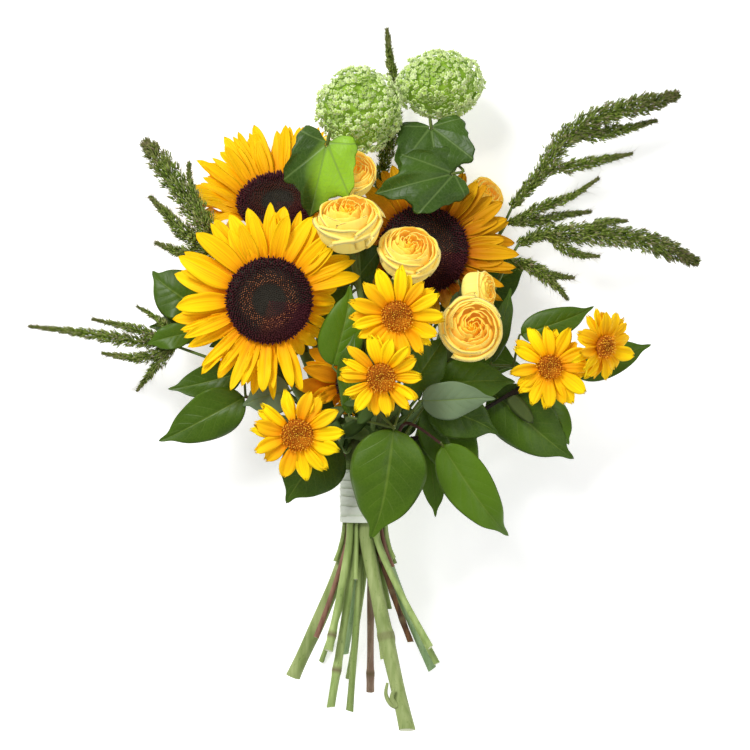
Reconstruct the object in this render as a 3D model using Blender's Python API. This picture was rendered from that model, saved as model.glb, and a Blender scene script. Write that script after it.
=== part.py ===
"""A hand-tied bouquet of sunflowers, spray roses, daisies and snowballs, lying on its back.

+X is the bouquet's right, +Y its top and +Z its front, which faces up. The origin is below the middle of
its outline, on the table. All lengths below are millimetres and all angles degrees; node() makes them metres.
"""

import math
import random

import bmesh
import bpy
import numpy as np
from mathutils import Matrix, Vector

MM = 0.001
SEED = 11

# The binding, and the stems that pass through it side by side.
TIE = Vector((0.0, -83.0, 50.0))
TIE_LENGTH = 37.0
TAPE = 1.3
GAP = 0.35
WAIST = 20.0
FAN_WIDE = 0.042
FAN_DEEP = 0.034
FAN_TURN = 0.6
COLLAR = 34.0
PACKING_TURNS = 700
EASING_TURNS = 120

# Points of every stem in the binding, below its middle, and the height of the two resting feet.
BELOW = (38, 20, -20)
REST_HEIGHT = 1.1

BLADE = 0.7
LEAF = 0.8

# Outlines of the blades: how far along, and how wide as a share of half the width.
RAY_FRONT = ((0.36, 0.95), (0.72, 0.78), (1.0, 0.0))
RAY_BACK = ((0.5, 1.0), (1.0, 0.0))
DAISY_RAY = ((0.6, 1.0), (1.0, 0.55))
ROSE_PETAL = ((0.5, 0.8), (1.0, 1.0))
BRACT = ((0.45, 1.0), (1.0, 0.0))
SEPAL = ((1.0, 0.0),)
LOBES = ((0.03, 0.5), (0.10, 0.86), (0.36, 1.0), (0.46, 0.70), (0.54, 0.84), (0.64, 0.5), (1.0, 0.0))
SALAL = ((0.10, 0.6), (0.36, 1.0), (0.62, 0.84), (0.85, 0.36), (1.0, 0.0))
SMALL = ((0.10, 0.6), (0.38, 1.0), (0.74, 0.66), (1.0, 0.0))
NARROW = ((0.3, 0.9), (0.65, 0.8), (1.0, 0.0))

# Stems: radius, place in the binding (right, front), how far the foot reaches below the binding's middle.
STEMS = {
    "sunflower_a_stem": (5.1, -1.0, 8.5, 161),
    "sunflower_b_stem": (4.8, -11.0, 1.0, 128),
    "sunflower_c_stem": (3.5, 11.5, -2.0, 114),
    "sunflower_d_stem": (2.4, -3.0, 2.0, 151),
    "rose_stems_middle": (2.8, -6.0, 7.0, 147),
    "rose_stems_right": (3.1, 13.5, 2.0, 122),
    "daisy_stems_middle": (2.1, 4.0, 12.5, 104),
    "daisy_stem_left": (2.7, -10.5, 8.5, 107),
    "daisy_stems_right": (1.9, 10.0, 8.0, 102),
    "viburnum_stem_left": (3.1, -1.0, -4.0, 112),
    "viburnum_stem_right": (2.5, 6.0, -6.0, 140),
    "salal_left": (1.7, -13.0, -4.0, 70),
    "salal_lower_left": (1.8, -13.0, 4.0, 99),
    "salal_behind_daisy": (1.5, -6.0, 13.0, 58),
    "salal_front": (2.0, 7.0, 11.5, 116),
    "salal_lower_right": (1.8, 10.0, -7.0, 80),
    "salal_twig": (1.6, 12.0, 6.0, 50),
    "salal_right": (2.3, 14.0, -4.0, 88),
    "salal_far_right": (1.7, 12.0, -8.0, 62),
    "salal_back_left": (1.8, -6.0, -15.0, 120),
    "salal_back_right": (1.8, 3.0, -15.0, 132),
    "panicle_top": (1.2, 0.0, -10.0, 50),
    "panicles_upper_left": (1.5, -11.0, -7.0, 56),
    "panicles_left": (1.5, -14.0, 0.0, 46),
    "panicle_upper_right": (1.5, 7.0, -11.0, 52),
    "panicles_inner_right": (1.3, 9.0, -10.0, 45),
    "panicle_right": (1.5, 14.0, -1.0, 48),
    "panicle_lower_right": (1.3, 14.5, 4.0, 44),
}

# Where each stem goes above the binding, up to what it carries.
ROUTES = {
    "sunflower_a_stem": ((-28, -38, 60), (-50, -6, 54), (-60, 34, 60)),
    "sunflower_b_stem": ((-32, -20, 38), (-52, 50, 32), (-59, 95, 20)),
    "sunflower_c_stem": ((25, -20, 44), (38, 40, 34), (41, 75, 34)),
    "sunflower_d_stem": ((-8, -38, 44), (-14, -22, 36)),
    "rose_stems_middle": ((1, -30, 70), (3, 6, 80), (-4, 62, 81), (-9, 84, 84)),
    "rose_stems_right": ((40, -25, 64), (64, 8, 74), (71, 26, 82)),
    "daisy_stems_middle": ((6, -34, 84), (10, -14, 106), (11, -6, 122)),
    "daisy_stem_left": ((-16, -40, 76), (-32, -31, 98), (-43, -36, 108)),
    "daisy_stems_right": ((58, -35, 71), (100, -12, 72), (121, 1, 72)),
    "viburnum_stem_left": ((-4, 0, 38), (2, 90, 28), (3, 140, 34)),
    "viburnum_stem_right": ((20, 0, 34), (46, 90, 24), (49, 150, 28)),
    "salal_left": ((-45, -20, 42), (-90, 22, 46), (-116, 42, 50)),
    "salal_lower_left": ((-42, -30, 62), (-66, -18, 64), (-83.5, -13.5, 63.5)),
    "salal_behind_daisy": ((-14, -52, 78), (-22, -40.5, 90.5)),
    "salal_front": ((15, -42, 84), (20, -34.5, 111)),
    "salal_lower_right": ((28, -50, 56), (40, -28, 70), (45.5, -16.5, 79)),
    "salal_twig": ((19, -52, 74), (26, -33, 90), (36, -34, 96), (53, -46, 94)),
    "salal_right": ((48, -38, 58), (84, -9, 64), (120, -12, 58)),
    "salal_far_right": ((60, -14, 46), (104, 8, 56), (145, 4, 60)),
    "salal_back_left": ((-24, 0, 20), (-44, 34, 4), (-53, 54, 0.8)),
    "salal_back_right": ((26, 0, 18), (46, 30, 4), (60, 55, 0.8)),
    "panicle_top": ((2, 0, 26), (7, 80, 14), (9, 134, 16)),
    "panicles_upper_left": ((-48, 0, 38), (-84, 42, 54), (-96, 72, 66), (-98, 89, 68)),
    "panicles_left": ((-50, -12, 52), (-105, 12, 54), (-133, 22, 52)),
    "panicle_upper_right": ((45, 10, 26), (92, 95, 24), (104, 121, 32)),
    "panicles_inner_right": ((52, 8, 34), (88, 88, 34), (100, 109, 38)),
    "panicle_right": ((55, 0, 42), (94, 70, 42), (108, 94, 46)),
    "panicle_lower_right": ((52, -12, 52), (88, 55, 46), (101, 83, 48)),
}

# Sunflowers: middle of the disc, the way it faces, disc radius, petal length, petals in each of two layers,
# the stretch of petals (from, to) that neighbours press back, and how far the others rise above the disc.
SUNFLOWERS = {
    "a": ((-66, 53, 90), (-0.02, 0.05, 1.0), 30, 41, 16, (-62, 8), 0),
    "b": ((-61, 121, 44), (-0.08, 0.70, 0.72), 29, 42, 14, (-150, 12), 24),
    "c": ((41, 89, 58), (0.0, 0.08, 1.0), 31, 37, 14, (170, 300), 4),
    "d": ((-8, -4, 61), (0.40, -0.05, 0.90), 15, 29, 9, (-125, 90), 0),
}

# Roses: middle of the bloom, the way it faces, radius, petals in a ring, rings.
ROSES = {
    "rose_1": ((-11, 109, 116), (-0.03, 0.50, 1.0), 22, 5, 3),
    "rose_2": ((31, 87, 112), (0.15, 0.45, 1.0), 20, 5, 3),
    "rose_3": ((73.5, 34, 110), (0.08, 0.12, 1.0), 20.5, 5, 3),
    "rose_4": ((81, 60, 88), (0.85, 0.1, 0.45), 14.5, 5, 2),
    "rose_5": ((-8, 143, 83), (0.2, 0.3, 1.0), 16.5, 5, 2),
    "rose_6": ((85, 129, 24), (0.5, 0.5, 0.8), 14, 5, 2),
}

# Daisies: middle, the way it faces, outer radius, petals, radius of the centre.
DAISIES = {
    "daisy_1": ((22, 42, 134), (0.0, -0.13, 1.0), 35, 13, 10.5),
    "daisy_2": ((11, 0.4, 139), (0.02, -0.2, 1.0), 31, 14, 10),
    "daisy_3": ((-46, -39, 118), (-0.05, -0.1, 1.0), 34, 13, 11),
    "daisy_4": ((128, 7.4, 88), (0.05, -0.05, 1.0), 31, 12, 8.5),
    "daisy_5": ((164.5, 22, 88), (0.62, -0.2, 0.7), 29, 12, 8),
}

# Snowballs: middle, radii across, along and deep, florets, how far below the middle the stem ends.
SNOWBALLS = {
    "snowball_left": ((-4, 187, 68), (30, 30, 30), 38, 31.4),
    "snowball_right": ((53, 206, 46), (31, 24, 27), 34, 24.5),
}

# Leaves: stem that carries it, where its stalk leaves the stem, base, tip, width, roll about its midrib,
# arch, and how far its sides fold up.
LEAVES = (
    ("salal_left", 0.90, (-119, 50, 48), (-152, 72, 42), 36, 0, 0.10, 0.10),
    ("salal_left", 0.86, (-116, 34, 44), (-152, 36, 38), 24, 0, 0.06, 0.10),
    ("salal_left", 1.00, (-120, 32, 61), (-153, 25, 60), 18, 0, 0.06, 0.15),
    ("salal_lower_left", 0.97, (-86, 4, 60), (-138, -9, 54), 25, 0, 0.06, 0.12),
    ("salal_lower_left", 1.00, (-84, -14, 64), (-143, -47, 54), 34, 0, 0.07, 0.12),
    ("salal_lower_left", 0.86, (-52, -9, 71), (-86, -18, 70), 28, 0, 0.05, 0.08),
    ("salal_behind_daisy", 1.00, (-22, -40, 91), (-57, -85, 82), 46, 0, 0.08, 0.10),
    ("salal_front", 1.00, (21, -34, 112), (8, -112, 90), 53, 0, 0.08, 0.10),
    ("salal_front", 1.00, (-11, -26, 97), (-9, 31, 106), 18, -25, 0.06, 0.20),
    ("salal_front", 1.00, (-22, 8, 92), (-8, 63, 93), 31, 5, 0.06, 0.08),
    ("salal_front", 0.90, (27, -52, 82), (33, -88, 66), 20, 0, 0.05, 0.10),
    ("salal_twig", 0.70, (44, -18, 87), (94, -36, 84), 36, 0, 0.05, 0.10),
    ("salal_front", 0.96, (30, -8, 94), (56, 30, 92), 30, 0, 0.05, 0.10),
    ("salal_lower_right", 1.00, (46, -16, 80), (76, -81, 62), 38, 0, 0.07, 0.10),
    ("salal_lower_right", 0.84, (44, -48, 58), (50, -99, 44), 19, 0, 0.05, 0.10),
    ("salal_lower_right", 1.00, (50, -4, 80), (104, 0, 76), 34, 0, 0.04, 0.10),
    ("salal_twig", 1.00, (55, -48, 95), (100, -113, 66), 34, 0, 0.08, 0.12),
    ("salal_right", 0.90, (88, -10, 67), (145, -60, 46), 42, 0, 0.07, 0.10),
    ("salal_twig", 0.80, (39, -16, 98), (90, -12, 102), 28, 18, 0.10, 0.12),
    ("salal_right", 1.00, (124, -16, 60), (145, -47, 50), 24, 0, 0.06, 0.10),
    ("salal_far_right", 0.92, (109, 30, 62), (161, 48, 58), 23, 0, 0.08, 0.10),
    ("salal_far_right", 1.00, (147, 4, 62), (201, 22, 50), 26, 0, 0.08, 0.12),
    ("salal_far_right", 0.88, (88, 10, 64), (102, 63, 64), 15, 20, 0.03, 0.15),
    ("salal_back_left", 0.97, (-54, 57, 0.8), (-98, 112, 0.8), 44, 0, 0.0, 0.0),
    ("salal_back_left", 0.90, (-48, 34, 3), (-112, 26, 2.5), 40, 0, 0.03, 0.04),
    ("salal_back_left", 0.84, (-34, 30, 8), (-22, 96, 8), 42, 0, 0.03, 0.04),
    ("salal_back_left", 0.76, (-12, 2, 14), (14, 66, 12), 38, 0, 0.03, 0.04),
    ("salal_back_right", 1.00, (62, 57, 0.8), (118, 82, 0.8), 42, 0, 0.0, 0.0),
    ("salal_back_right", 0.94, (49, 52, 4), (42, 122, 2), 40, 0, 0.03, 0.04),
    ("salal_back_right", 0.88, (50, 24, 4.6), (114, 8, 2), 38, 0, 0.03, 0.04),
)

# Lobed leaves of the viburnum: stem, where its stalk leaves the stem, points of the stalk, base, tip, width.
LOBED = (
    ("viburnum_stem_right", 1.0, ((48, 170, 50), (46, 179, 62)), (46, 175, 68), (52, 128, 74), 54, 0),
    ("viburnum_stem_right", 0.96, ((62, 163, 44), (64, 150, 68)), (62, 142, 76), (8, 128, 84), 44, 0),
    ("viburnum_stem_left", 0.98, ((-12, 152, 56), (-24, 160, 84)), (-26, 162, 100), (-38, 112, 84), 48, 0),
    ("viburnum_stem_left", 0.70, ((-6, 62, 42),), (-9, 66, 54), (-2, 112, 64), 32, 0),
)

# Panicles: the stem that carries them, and for each spike its points and its greatest radius. A spike starts
# at the stem's end, or on the spike named before it.
SPIKES = {
    "panicle_top": (
        (((9, 134, 16), (15, 159, 18), (21, 201, 22), (17.5, 226, 26), (15.5, 246, 30)), 7.0),
    ),
    "panicles_upper_left": (
        (((-98, 89, 71), (-119, 117, 83), (-142, 150, 78), (-154, 165, 71)), 9.0),
        (((-98, 89, 70), (-112, 108, 84), (-121, 136, 88), (-122, 149, 86)), 4.5),
        (((-98, 89, 68), (-124, 100, 66), (-150, 126, 62)), 7.5),
        (((-98, 89, 68), (-122, 86, 67), (-146, 94, 64)), 6.0),
    ),
    "panicles_left": (
        (((-133, 22, 52), (-165, 26, 52), (-195, 31, 50), (-236, 36, 46)), 4.6),
        (((-133, 22, 52), (-158, 33, 56), (-191, 41, 54)), 3.6),
        (((-133, 22, 52), (-158, 14, 52), (-184, 17, 50)), 4.4),
        (((-133, 22, 52), (-146, 9, 50), (-160, -9, 48)), 4.0),
        (((-133, 22, 52), (-142, 38, 52), (-160, 50, 48)), 2.6),
    ),
    "panicle_upper_right": (
        (((104, 121, 32), (125, 145, 34), (142, 169, 36), (168, 185, 38), (206, 195, 40), (221, 200, 40)), 8),
        (((142, 169, 36), (168, 173, 32), (188, 177, 30), (206, 182, 28)), 6.0),
        (((125, 145, 34), (160, 152, 36), (188, 158, 36)), 5.0),
    ),
    "panicles_inner_right": (
        (((100, 109, 38), (127, 121, 42), (146, 128, 44), (164, 140, 46)), 4.0),
        (((100, 109, 38), (125, 111, 36), (142, 115, 35), (159, 117, 34)), 4.4),
    ),
    "panicle_right": (
        (((108, 94, 46), (127, 101, 46), (153, 101, 48), (178, 99, 48), (204, 94, 46), (235, 81, 42)), 8.2),
        (((127, 101, 46), (146, 88, 50), (164, 85, 50)), 4.4),
        (((153, 101, 48), (168, 109, 50), (184, 110, 50)), 3.8),
    ),
    "panicle_lower_right": (
        (((101, 83, 48), (116, 78, 50), (129, 72, 52), (146, 70, 52)), 5.2),
        (((116, 78, 50), (134, 64, 54), (142, 55, 55)), 4.2),
    ),
}

GREEN = (0.10, 0.22, 0.04)
COLOURS = {
    "petal": ((1.0, 0.58, 0.0), 0.55),
    "deep_petal": ((0.95, 0.35, 0.0), 0.55),
    "disc": ((0.035, 0.012, 0.015), 0.85),
    "rose": ((1.0, 0.72, 0.25), 0.5),
    "daisy": ((1.0, 0.46, 0.0), 0.5),
    "daisy_centre": ((0.42, 0.14, 0.02), 0.85),
    "floret": ((0.35, 0.58, 0.16), 0.6),
    "stem": ((0.30, 0.42, 0.12), 0.55),
    "salal": (GREEN, 0.4),
    "lobed": ((0.09, 0.26, 0.03), 0.45),
    "panicle": ((0.09, 0.13, 0.04), 0.8),
    "tape": ((0.78, 0.84, 0.70), 0.6),
}


def clear_scene():
    for thing in list(bpy.data.objects):
        bpy.data.objects.remove(thing, do_unlink=True)


def collection(name):
    made = bpy.data.collections.new(name)
    bpy.context.scene.collection.children.link(made)
    return made


def material(name):
    colour, roughness = COLOURS[name]
    found = bpy.data.materials.get(name)
    if found:
        return found
    made = bpy.data.materials.new(name)
    made.use_nodes = True
    shader = made.node_tree.nodes["Principled BSDF"]
    shader.inputs["Base Color"].default_value = (*colour, 1)
    shader.inputs["Roughness"].default_value = roughness
    shader.inputs["Metallic"].default_value = 0.0
    return made


def mesh_from(bm, frame=None):
    """Closes a bmesh off as a mesh of triangles, turned by frame."""
    if frame is not None:
        bm.transform(frame)
    bmesh.ops.recalc_face_normals(bm, faces=bm.faces[:])
    if bm.calc_volume(signed=True) < 0:
        bmesh.ops.reverse_faces(bm, faces=bm.faces[:])
    bmesh.ops.triangulate(bm, faces=bm.faces[:])
    mesh = bpy.data.meshes.new("piece")
    bm.to_mesh(mesh)
    bm.free()
    return mesh


def strip(bm, near, far, flip):
    """Triangles between two rows of verts: a row of one is a tip, and one of two may fan out."""
    faces = []
    if len(far) == 1:
        faces = [(a, b, far[0]) for a, b in zip(near, near[1:])]
    elif len(near) == len(far):
        for i in range(len(near) - 1):
            faces += [(near[i], near[i + 1], far[i + 1]), (near[i], far[i + 1], far[i])]
    else:
        half = (len(far) - 1) // 2
        faces = [(near[0], far[i + 1], far[i]) for i in range(half)] + [(near[0], near[1], far[half])]
        faces += [(near[1], far[i + 1], far[i]) for i in range(half, len(far) - 1)]
    for face in faces:
        bm.faces.new(face[::-1] if flip else face)


def skin(bm, sections, root=None):
    """Skins a closed blade over its sections, each a row of points on top and one below, from left to right.
    root is the pair of rows, already there, that the blade grows from; without it, it starts with a cap."""
    rows = [([bm.verts.new(p) for p in top], [bm.verts.new(p) for p in low]) for top, low in sections]
    if root:
        rows.insert(0, root)
    else:
        strip(bm, rows[0][0], rows[0][1], False)
    for (top, low), (next_top, next_low) in zip(rows, rows[1:]):
        strip(bm, top, next_top, False)
        strip(bm, low, next_low, True)
        strip(bm, (top[0], low[0]), (next_top[0], next_low[0]), True)
        strip(bm, (top[-1], low[-1]), (next_top[-1], next_low[-1]), False)
    if len(rows[-1][0]) > 1:
        strip(bm, rows[-1][0], rows[-1][1], True)


def sections_of(place, outline, columns, thickness):
    """Sections of a blade whose face is place(across, along, share), with its underside a thickness below."""
    sections = []
    for along, share in outline:
        acrosses = [-1 + 2 * i / columns for i in range(columns + 1)] if share else [0.0]
        top, low = [], []
        for across in acrosses:
            point = place(across, along, share)
            wide = place(across + 0.05, along, max(share, 0.3)) - place(across - 0.05, along, max(share, 0.3))
            ahead = place(across, along + 0.02, share) - place(across, along - 0.02, share)
            top.append(point)
            low.append(point - wide.cross(ahead).normalized() * thickness)
        sections.append((top, low))
    return sections


def ring(bm, sides, radius, height, turn=0.0):
    """Verts of a regular ring; the middle of its side i is at angle i * 360 / sides + turn."""
    step = math.tau / sides
    angles = [step * (i - 0.5) + math.radians(turn) for i in range(sides)]
    return [bm.verts.new((radius * math.cos(a), radius * math.sin(a), height)) for a in angles]


def band(bm, low, high, twisted=False):
    """Closes the side between two rings; twisted where the upper one is turned on by half a side."""
    count = len(low)
    for i in range(count):
        j = (i + 1) % count
        if twisted:
            bm.faces.new((low[i], low[j], high[i]))
            bm.faces.new((low[j], high[j], high[i]))
        else:
            bm.faces.new((low[i], low[j], high[j], high[i]))


def side_root(top_ring, low_ring, side):
    """The root that a blade grows from on one side of a hub, as its top row and its lower row."""
    after = (side + 1) % len(top_ring)
    return ([top_ring[after], top_ring[side]], [low_ring[after], low_ring[side]])


def tube(points, radii, sides=6, spread=None, frame=None):
    """A tapered tube with closed ends, made as a curve. spread(row, side, off) may move its points."""
    curve = bpy.data.curves.new("tube", "CURVE")
    curve.dimensions = "3D"
    curve.bevel_depth = 1.0
    curve.bevel_resolution = (sides - 4) // 2
    curve.use_fill_caps = True
    spline = curve.splines.new("POLY")
    spline.points.add(len(points) - 1)
    for knot, point, radius in zip(spline.points, points, radii):
        knot.co = (*point, 1)
        knot.radius = radius
    holder = bpy.data.objects.new("tube", curve)
    bpy.context.scene.collection.objects.link(holder)
    bpy.context.view_layer.update()
    mesh = bpy.data.meshes.new_from_object(holder.evaluated_get(bpy.context.evaluated_depsgraph_get()))
    bpy.data.objects.remove(holder)
    bpy.data.curves.remove(curve)
    if spread:
        caps = 2 * sides
        for row in range(1, len(points) - 1):
            middle = Vector(points[row])
            for side in range(sides):
                vert = mesh.vertices[caps + row * sides + side]
                vert.co = middle + spread(row, side, vert.co - middle)
    bm = bmesh.new()
    bm.from_mesh(mesh)
    bpy.data.meshes.remove(mesh)
    bmesh.ops.remove_doubles(bm, verts=bm.verts[:], dist=0.001)
    return mesh_from(bm, frame)


def turned(profile, sides, frame=None, shift=None):
    """A profile of (radius, height) points turned round Z. shift(point, row, side) may move its points."""
    bm = bmesh.new()
    verts = [bm.verts.new((radius, 0, height)) for radius, height in profile]
    for first, second in zip(verts, verts[1:]):
        bm.edges.new((first, second))
    if profile[0][0] > 0:
        bm.edges.new((verts[-1], verts[0]))
    shape = bm.verts[:] + bm.edges[:]
    middle = (0, 0, 0)
    bmesh.ops.spin(bm, geom=shape, angle=math.tau, steps=sides, axis=(0, 0, 1), cent=middle, use_merge=True)
    bmesh.ops.remove_doubles(bm, verts=bm.verts[:], dist=0.001)
    if shift:
        for vert in bm.verts:
            side = round(math.atan2(vert.co.y, vert.co.x) / math.tau * sides) % sides
            vert.co = shift(vert.co, side)
    return mesh_from(bm, frame)


def largest_body(bm):
    """Keeps the largest closed body of a union, and drops sealed hollows and loose scraps."""
    left, bodies = set(bm.verts), []
    while left:
        found, edge = set(), [left.pop()]
        while edge:
            vert = edge.pop()
            found.add(vert)
            for link in vert.link_edges:
                other = link.other_vert(vert)
                if other in left:
                    left.discard(other)
                    edge.append(other)
        bodies.append(found)
    bodies.sort(key=len, reverse=True)
    loose = [vert for body in bodies[1:] for vert in body]
    bmesh.ops.delete(bm, geom=loose, context="VERTS")


def node(name, pieces, finish, bouquet, press=False):
    """Fuses the pieces into one closed body, in metres, as the node of that name."""
    things = []
    for piece in pieces:
        thing = bpy.data.objects.new("piece", piece)
        things.append(thing)
    base = things[0]
    bpy.context.scene.collection.objects.link(base)
    mesh = base.data
    if len(things) > 1:
        others = collection("pieces of " + name)
        for thing in things[1:]:
            others.objects.link(thing)
        fuse = base.modifiers.new("fuse", "BOOLEAN")
        fuse.operation = "UNION"
        fuse.operand_type = "COLLECTION"
        fuse.collection = others
        fuse.solver = "EXACT"
        bpy.context.view_layer.update()
        mesh = bpy.data.meshes.new_from_object(base.evaluated_get(bpy.context.evaluated_depsgraph_get()))
        for thing in things[1:]:
            bpy.data.objects.remove(thing)
        bpy.data.collections.remove(others)
    bpy.data.objects.remove(base)
    bm = bmesh.new()
    bm.from_mesh(mesh)
    bmesh.ops.triangulate(bm, faces=bm.faces[:])
    bmesh.ops.remove_doubles(bm, verts=bm.verts[:], dist=0.0004)
    bmesh.ops.dissolve_degenerate(bm, edges=bm.edges[:], dist=0.0004)
    largest_body(bm)
    if press:
        for vert in bm.verts:
            if vert.co.z < 0.12:
                vert.co.z = 0.0
    bmesh.ops.triangulate(bm, faces=bm.faces[:])
    bmesh.ops.scale(bm, vec=(MM, MM, MM), verts=bm.verts[:])
    bm.to_mesh(mesh)
    bm.free()
    made = bpy.data.objects.new(name, mesh)
    mesh.name = name
    mesh.materials.clear()
    mesh.materials.append(material(finish))
    bouquet.objects.link(made)


def facing_frame(at, facing):
    """A frame whose Z faces that way, with its X as near the bouquet's right as can be."""
    normal = Vector(facing).normalized()
    right = (Vector((1, 0, 0)) - normal * normal.x).normalized()
    turn = Matrix((right, normal.cross(right), normal)).transposed()
    return Matrix.Translation(Vector(at)) @ turn.to_4x4()


def bent(start, end, along):
    """How far forward and up a strip of unit length has gone, as its slope turns from start to end."""
    start, end = math.radians(start), math.radians(end)
    change = end - start if abs(end - start) > 0.01 else 0.01
    here = start + change * along
    return (math.sin(here) - math.sin(start)) / change, (math.cos(start) - math.cos(here)) / change


def ray(outline, angle, root, length, width, height, slopes, cup=0.0, twist=0.0, notch=0.0, columns=2):
    """Sections of a petal that leaves a flower's rim at an angle, bent from its first slope to its last."""
    out = Vector((math.cos(math.radians(angle)), math.sin(math.radians(angle)), 0))
    side = Vector((out.y, -out.x, 0))
    lean = math.tan(math.radians(twist))

    def place(across, along, share):
        reach = along - notch * (1 - abs(across)) * along ** 4
        forward, up = bent(*slopes, reach)
        off = across * share * width / 2
        rise = height + length * up + cup * abs(off) + lean * off * along
        return out * (root + length * forward) + side * off + Vector((0, 0, rise))

    return sections_of(place, outline, columns, BLADE)


def smooth_path(points, step):
    """A smooth curve through the points (Catmull-Rom), with a point about every step."""
    points = [Vector(p) for p in points]
    ends = [2 * points[0] - points[1]] + points + [2 * points[-1] - points[-2]]
    path = [points[0]]
    for before, start, end, after in zip(ends, ends[1:], ends[2:], ends[3:]):
        count = max(1, round((end - start).length / step))
        for i in range(1, count + 1):
            t = i / count
            bend = 2 * start + (end - before) * t
            bend += (2 * before - 5 * start + 4 * end - after) * t * t
            bend += (3 * start - before - 3 * end + after) * t * t * t
            path.append(bend / 2)
    return path


def packed_slots():
    """Pushes the stems' places in the binding apart until none touch, and together towards its middle."""
    names = list(STEMS)
    radii = np.array([STEMS[name][0] for name in names])
    places = np.array([STEMS[name][1:3] for name in names], float)
    need = radii[:, None] + radii[None, :] + GAP
    for turn in range(PACKING_TURNS):
        places *= 1 - 0.02 * max(0.0, 0.8 - turn / PACKING_TURNS)
        for _ in range(6):
            apart = places[:, None, :] - places[None, :, :]
            distance = np.linalg.norm(apart, axis=2) + np.eye(len(names)) * 1000
            overlap = np.clip(need - distance, 0, None)
            np.fill_diagonal(overlap, 0)
            places += (apart / distance[:, :, None] * overlap[:, :, None]).sum(axis=1) * 0.5
    for turn in range(PACKING_TURNS):
        reach = np.linalg.norm(places, axis=1) + radii
        places -= places[reach.argmax()] / (turn + 20)
    return {name: place for name, place in zip(names, places)}


def fanned(slot, below):
    """Where a stem in that slot is, that far below the binding's middle: the bundle opens on both sides."""
    reach = max(0.0, abs(below) - WAIST)
    wide = waist_share(below)
    deep = math.hypot(1, FAN_DEEP * reach)
    turn = FAN_TURN * (wide - 1) if below > 0 else 0.0
    return TIE + Vector((wide * slot[0] + turn * slot[1], -below, deep * slot[1]))


def stem_paths():
    """Every stem from its foot to what it carries, with the stretches above the binding eased apart."""
    slots = packed_slots()
    paths = {}
    for name, (_, _, _, foot) in STEMS.items():
        low = [fanned(slots[name], below) for below in (foot, (foot + BELOW[0]) / 2, *BELOW)]
        if "back" in name:
            low[0].z = REST_HEIGHT
            low[1].z = (REST_HEIGHT + low[2].z) * 0.42
        path = smooth_path([fanned(slots[name], BELOW[-1]), fanned(slots[name], -COLLAR), *ROUTES[name]], 28)
        paths[name] = low[:-1] + path
    ease_apart(paths)
    return paths, slots


def ease_apart(paths):
    """Pushes the free points of the stems away from each other wherever two stems would touch."""
    names = list(paths)
    knots = np.array([point for name in names for point in paths[name]])
    firsts = np.cumsum([0] + [len(paths[name]) for name in names])
    free = np.zeros(len(knots), bool)
    near, share, owner, radius = [], [], [], []
    for i, name in enumerate(names):
        held = len(BELOW) + 2
        free[firsts[i] + held:firsts[i + 1] - 1] = True
        for knot in range(firsts[i] + held - 2, firsts[i + 1] - 1):
            for part in (0.0, 0.2, 0.4, 0.6, 0.8):
                near.append(knot)
                share.append(part)
                owner.append(i)
                radius.append(STEMS[name][0])
    near, owner = np.array(near), np.array(owner)
    share, radius = np.array(share)[:, None], np.array(radius)
    need = np.where(owner[:, None] == owner[None, :], 0.0, radius[:, None] + radius[None, :] + 5 * GAP)
    for _ in range(EASING_TURNS):
        places = knots[near] * (1 - share) + knots[near + 1] * share
        apart = places[:, None, :] - places[None, :, :]
        distance = np.linalg.norm(apart, axis=2) + 1e-6
        touching = np.clip(need - distance, 0, None) / distance
        push = (apart * touching[:, :, None]).sum(axis=1) * 0.3
        moved = np.zeros_like(knots)
        np.add.at(moved, near, push * (1 - share))
        np.add.at(moved, near + 1, push * share)
        knots[free] += moved[free]
    for i, name in enumerate(names):
        paths[name] = [Vector(point) for point in knots[firsts[i]:firsts[i + 1]]]


def stem_tube(path, radius, sides, tip_share=0.8):
    """A stem that is a little thicker towards its foot."""
    count = len(path) - 1
    radii = [radius * (1 - (1 - tip_share) * max(0, i - len(BELOW)) / count) for i in range(count + 1)]
    radii[0] *= 1.1
    return tube(path, radii, sides)


def pressed_back(angle, stretch, margin):
    """Whether neighbours press back what grows at that angle."""
    low, high = stretch
    return any(low - margin < angle + turn < high + margin for turn in (-360, 0, 360))


def sunflower_petals(letter, rng):
    """Two layers of petals that grow from the sides of a low drum: one in front, one between and behind."""
    _, _, disc, length, count, pressed, rise = SUNFLOWERS[letter]
    broad = 1.85 * math.pi * (disc + length * 0.28) / count
    drum = disc - 2.0
    bm = bmesh.new()
    rings = [
        ring(bm, count, drum, 1.2),
        ring(bm, count, drum, 0.2),
        ring(bm, count, drum, -1.2, 180 / count),
        ring(bm, count, drum, -2.2, 180 / count),
    ]
    bm.faces.new(rings[0])
    bm.faces.new(rings[3][::-1])
    band(bm, rings[1], rings[2], True)
    for layer in (0, 1):
        for i in range(count):
            angle = 360 / count * (i + 0.5 * layer)
            reach = length * rng.uniform(0.88, 1.06)
            start = (16, 2)[layer] + rise + rng.uniform(-3, 3)
            end = (-6, -12)[layer] + rise + rng.uniform(-8, 8)
            width = broad
            if pressed_back(angle, pressed, layer * 360 / count):
                start, end, reach, width = -34 + 10 * (1 - layer), -70, reach * 0.62, broad * 0.8
            lean = angle + rng.uniform(-1.2, 1.2)
            outline, columns, height = ((RAY_FRONT, 2, 1.1), (RAY_BACK, 1, -1.3))[layer]
            twist = rng.uniform(-6, 6)
            petal = ray(outline, lean, drum, reach, width, height, (start, end), 0.14, twist, 0.0, columns)
            skin(bm, petal, side_root(rings[2 * layer], rings[2 * layer + 1], i))
    return bm


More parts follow.
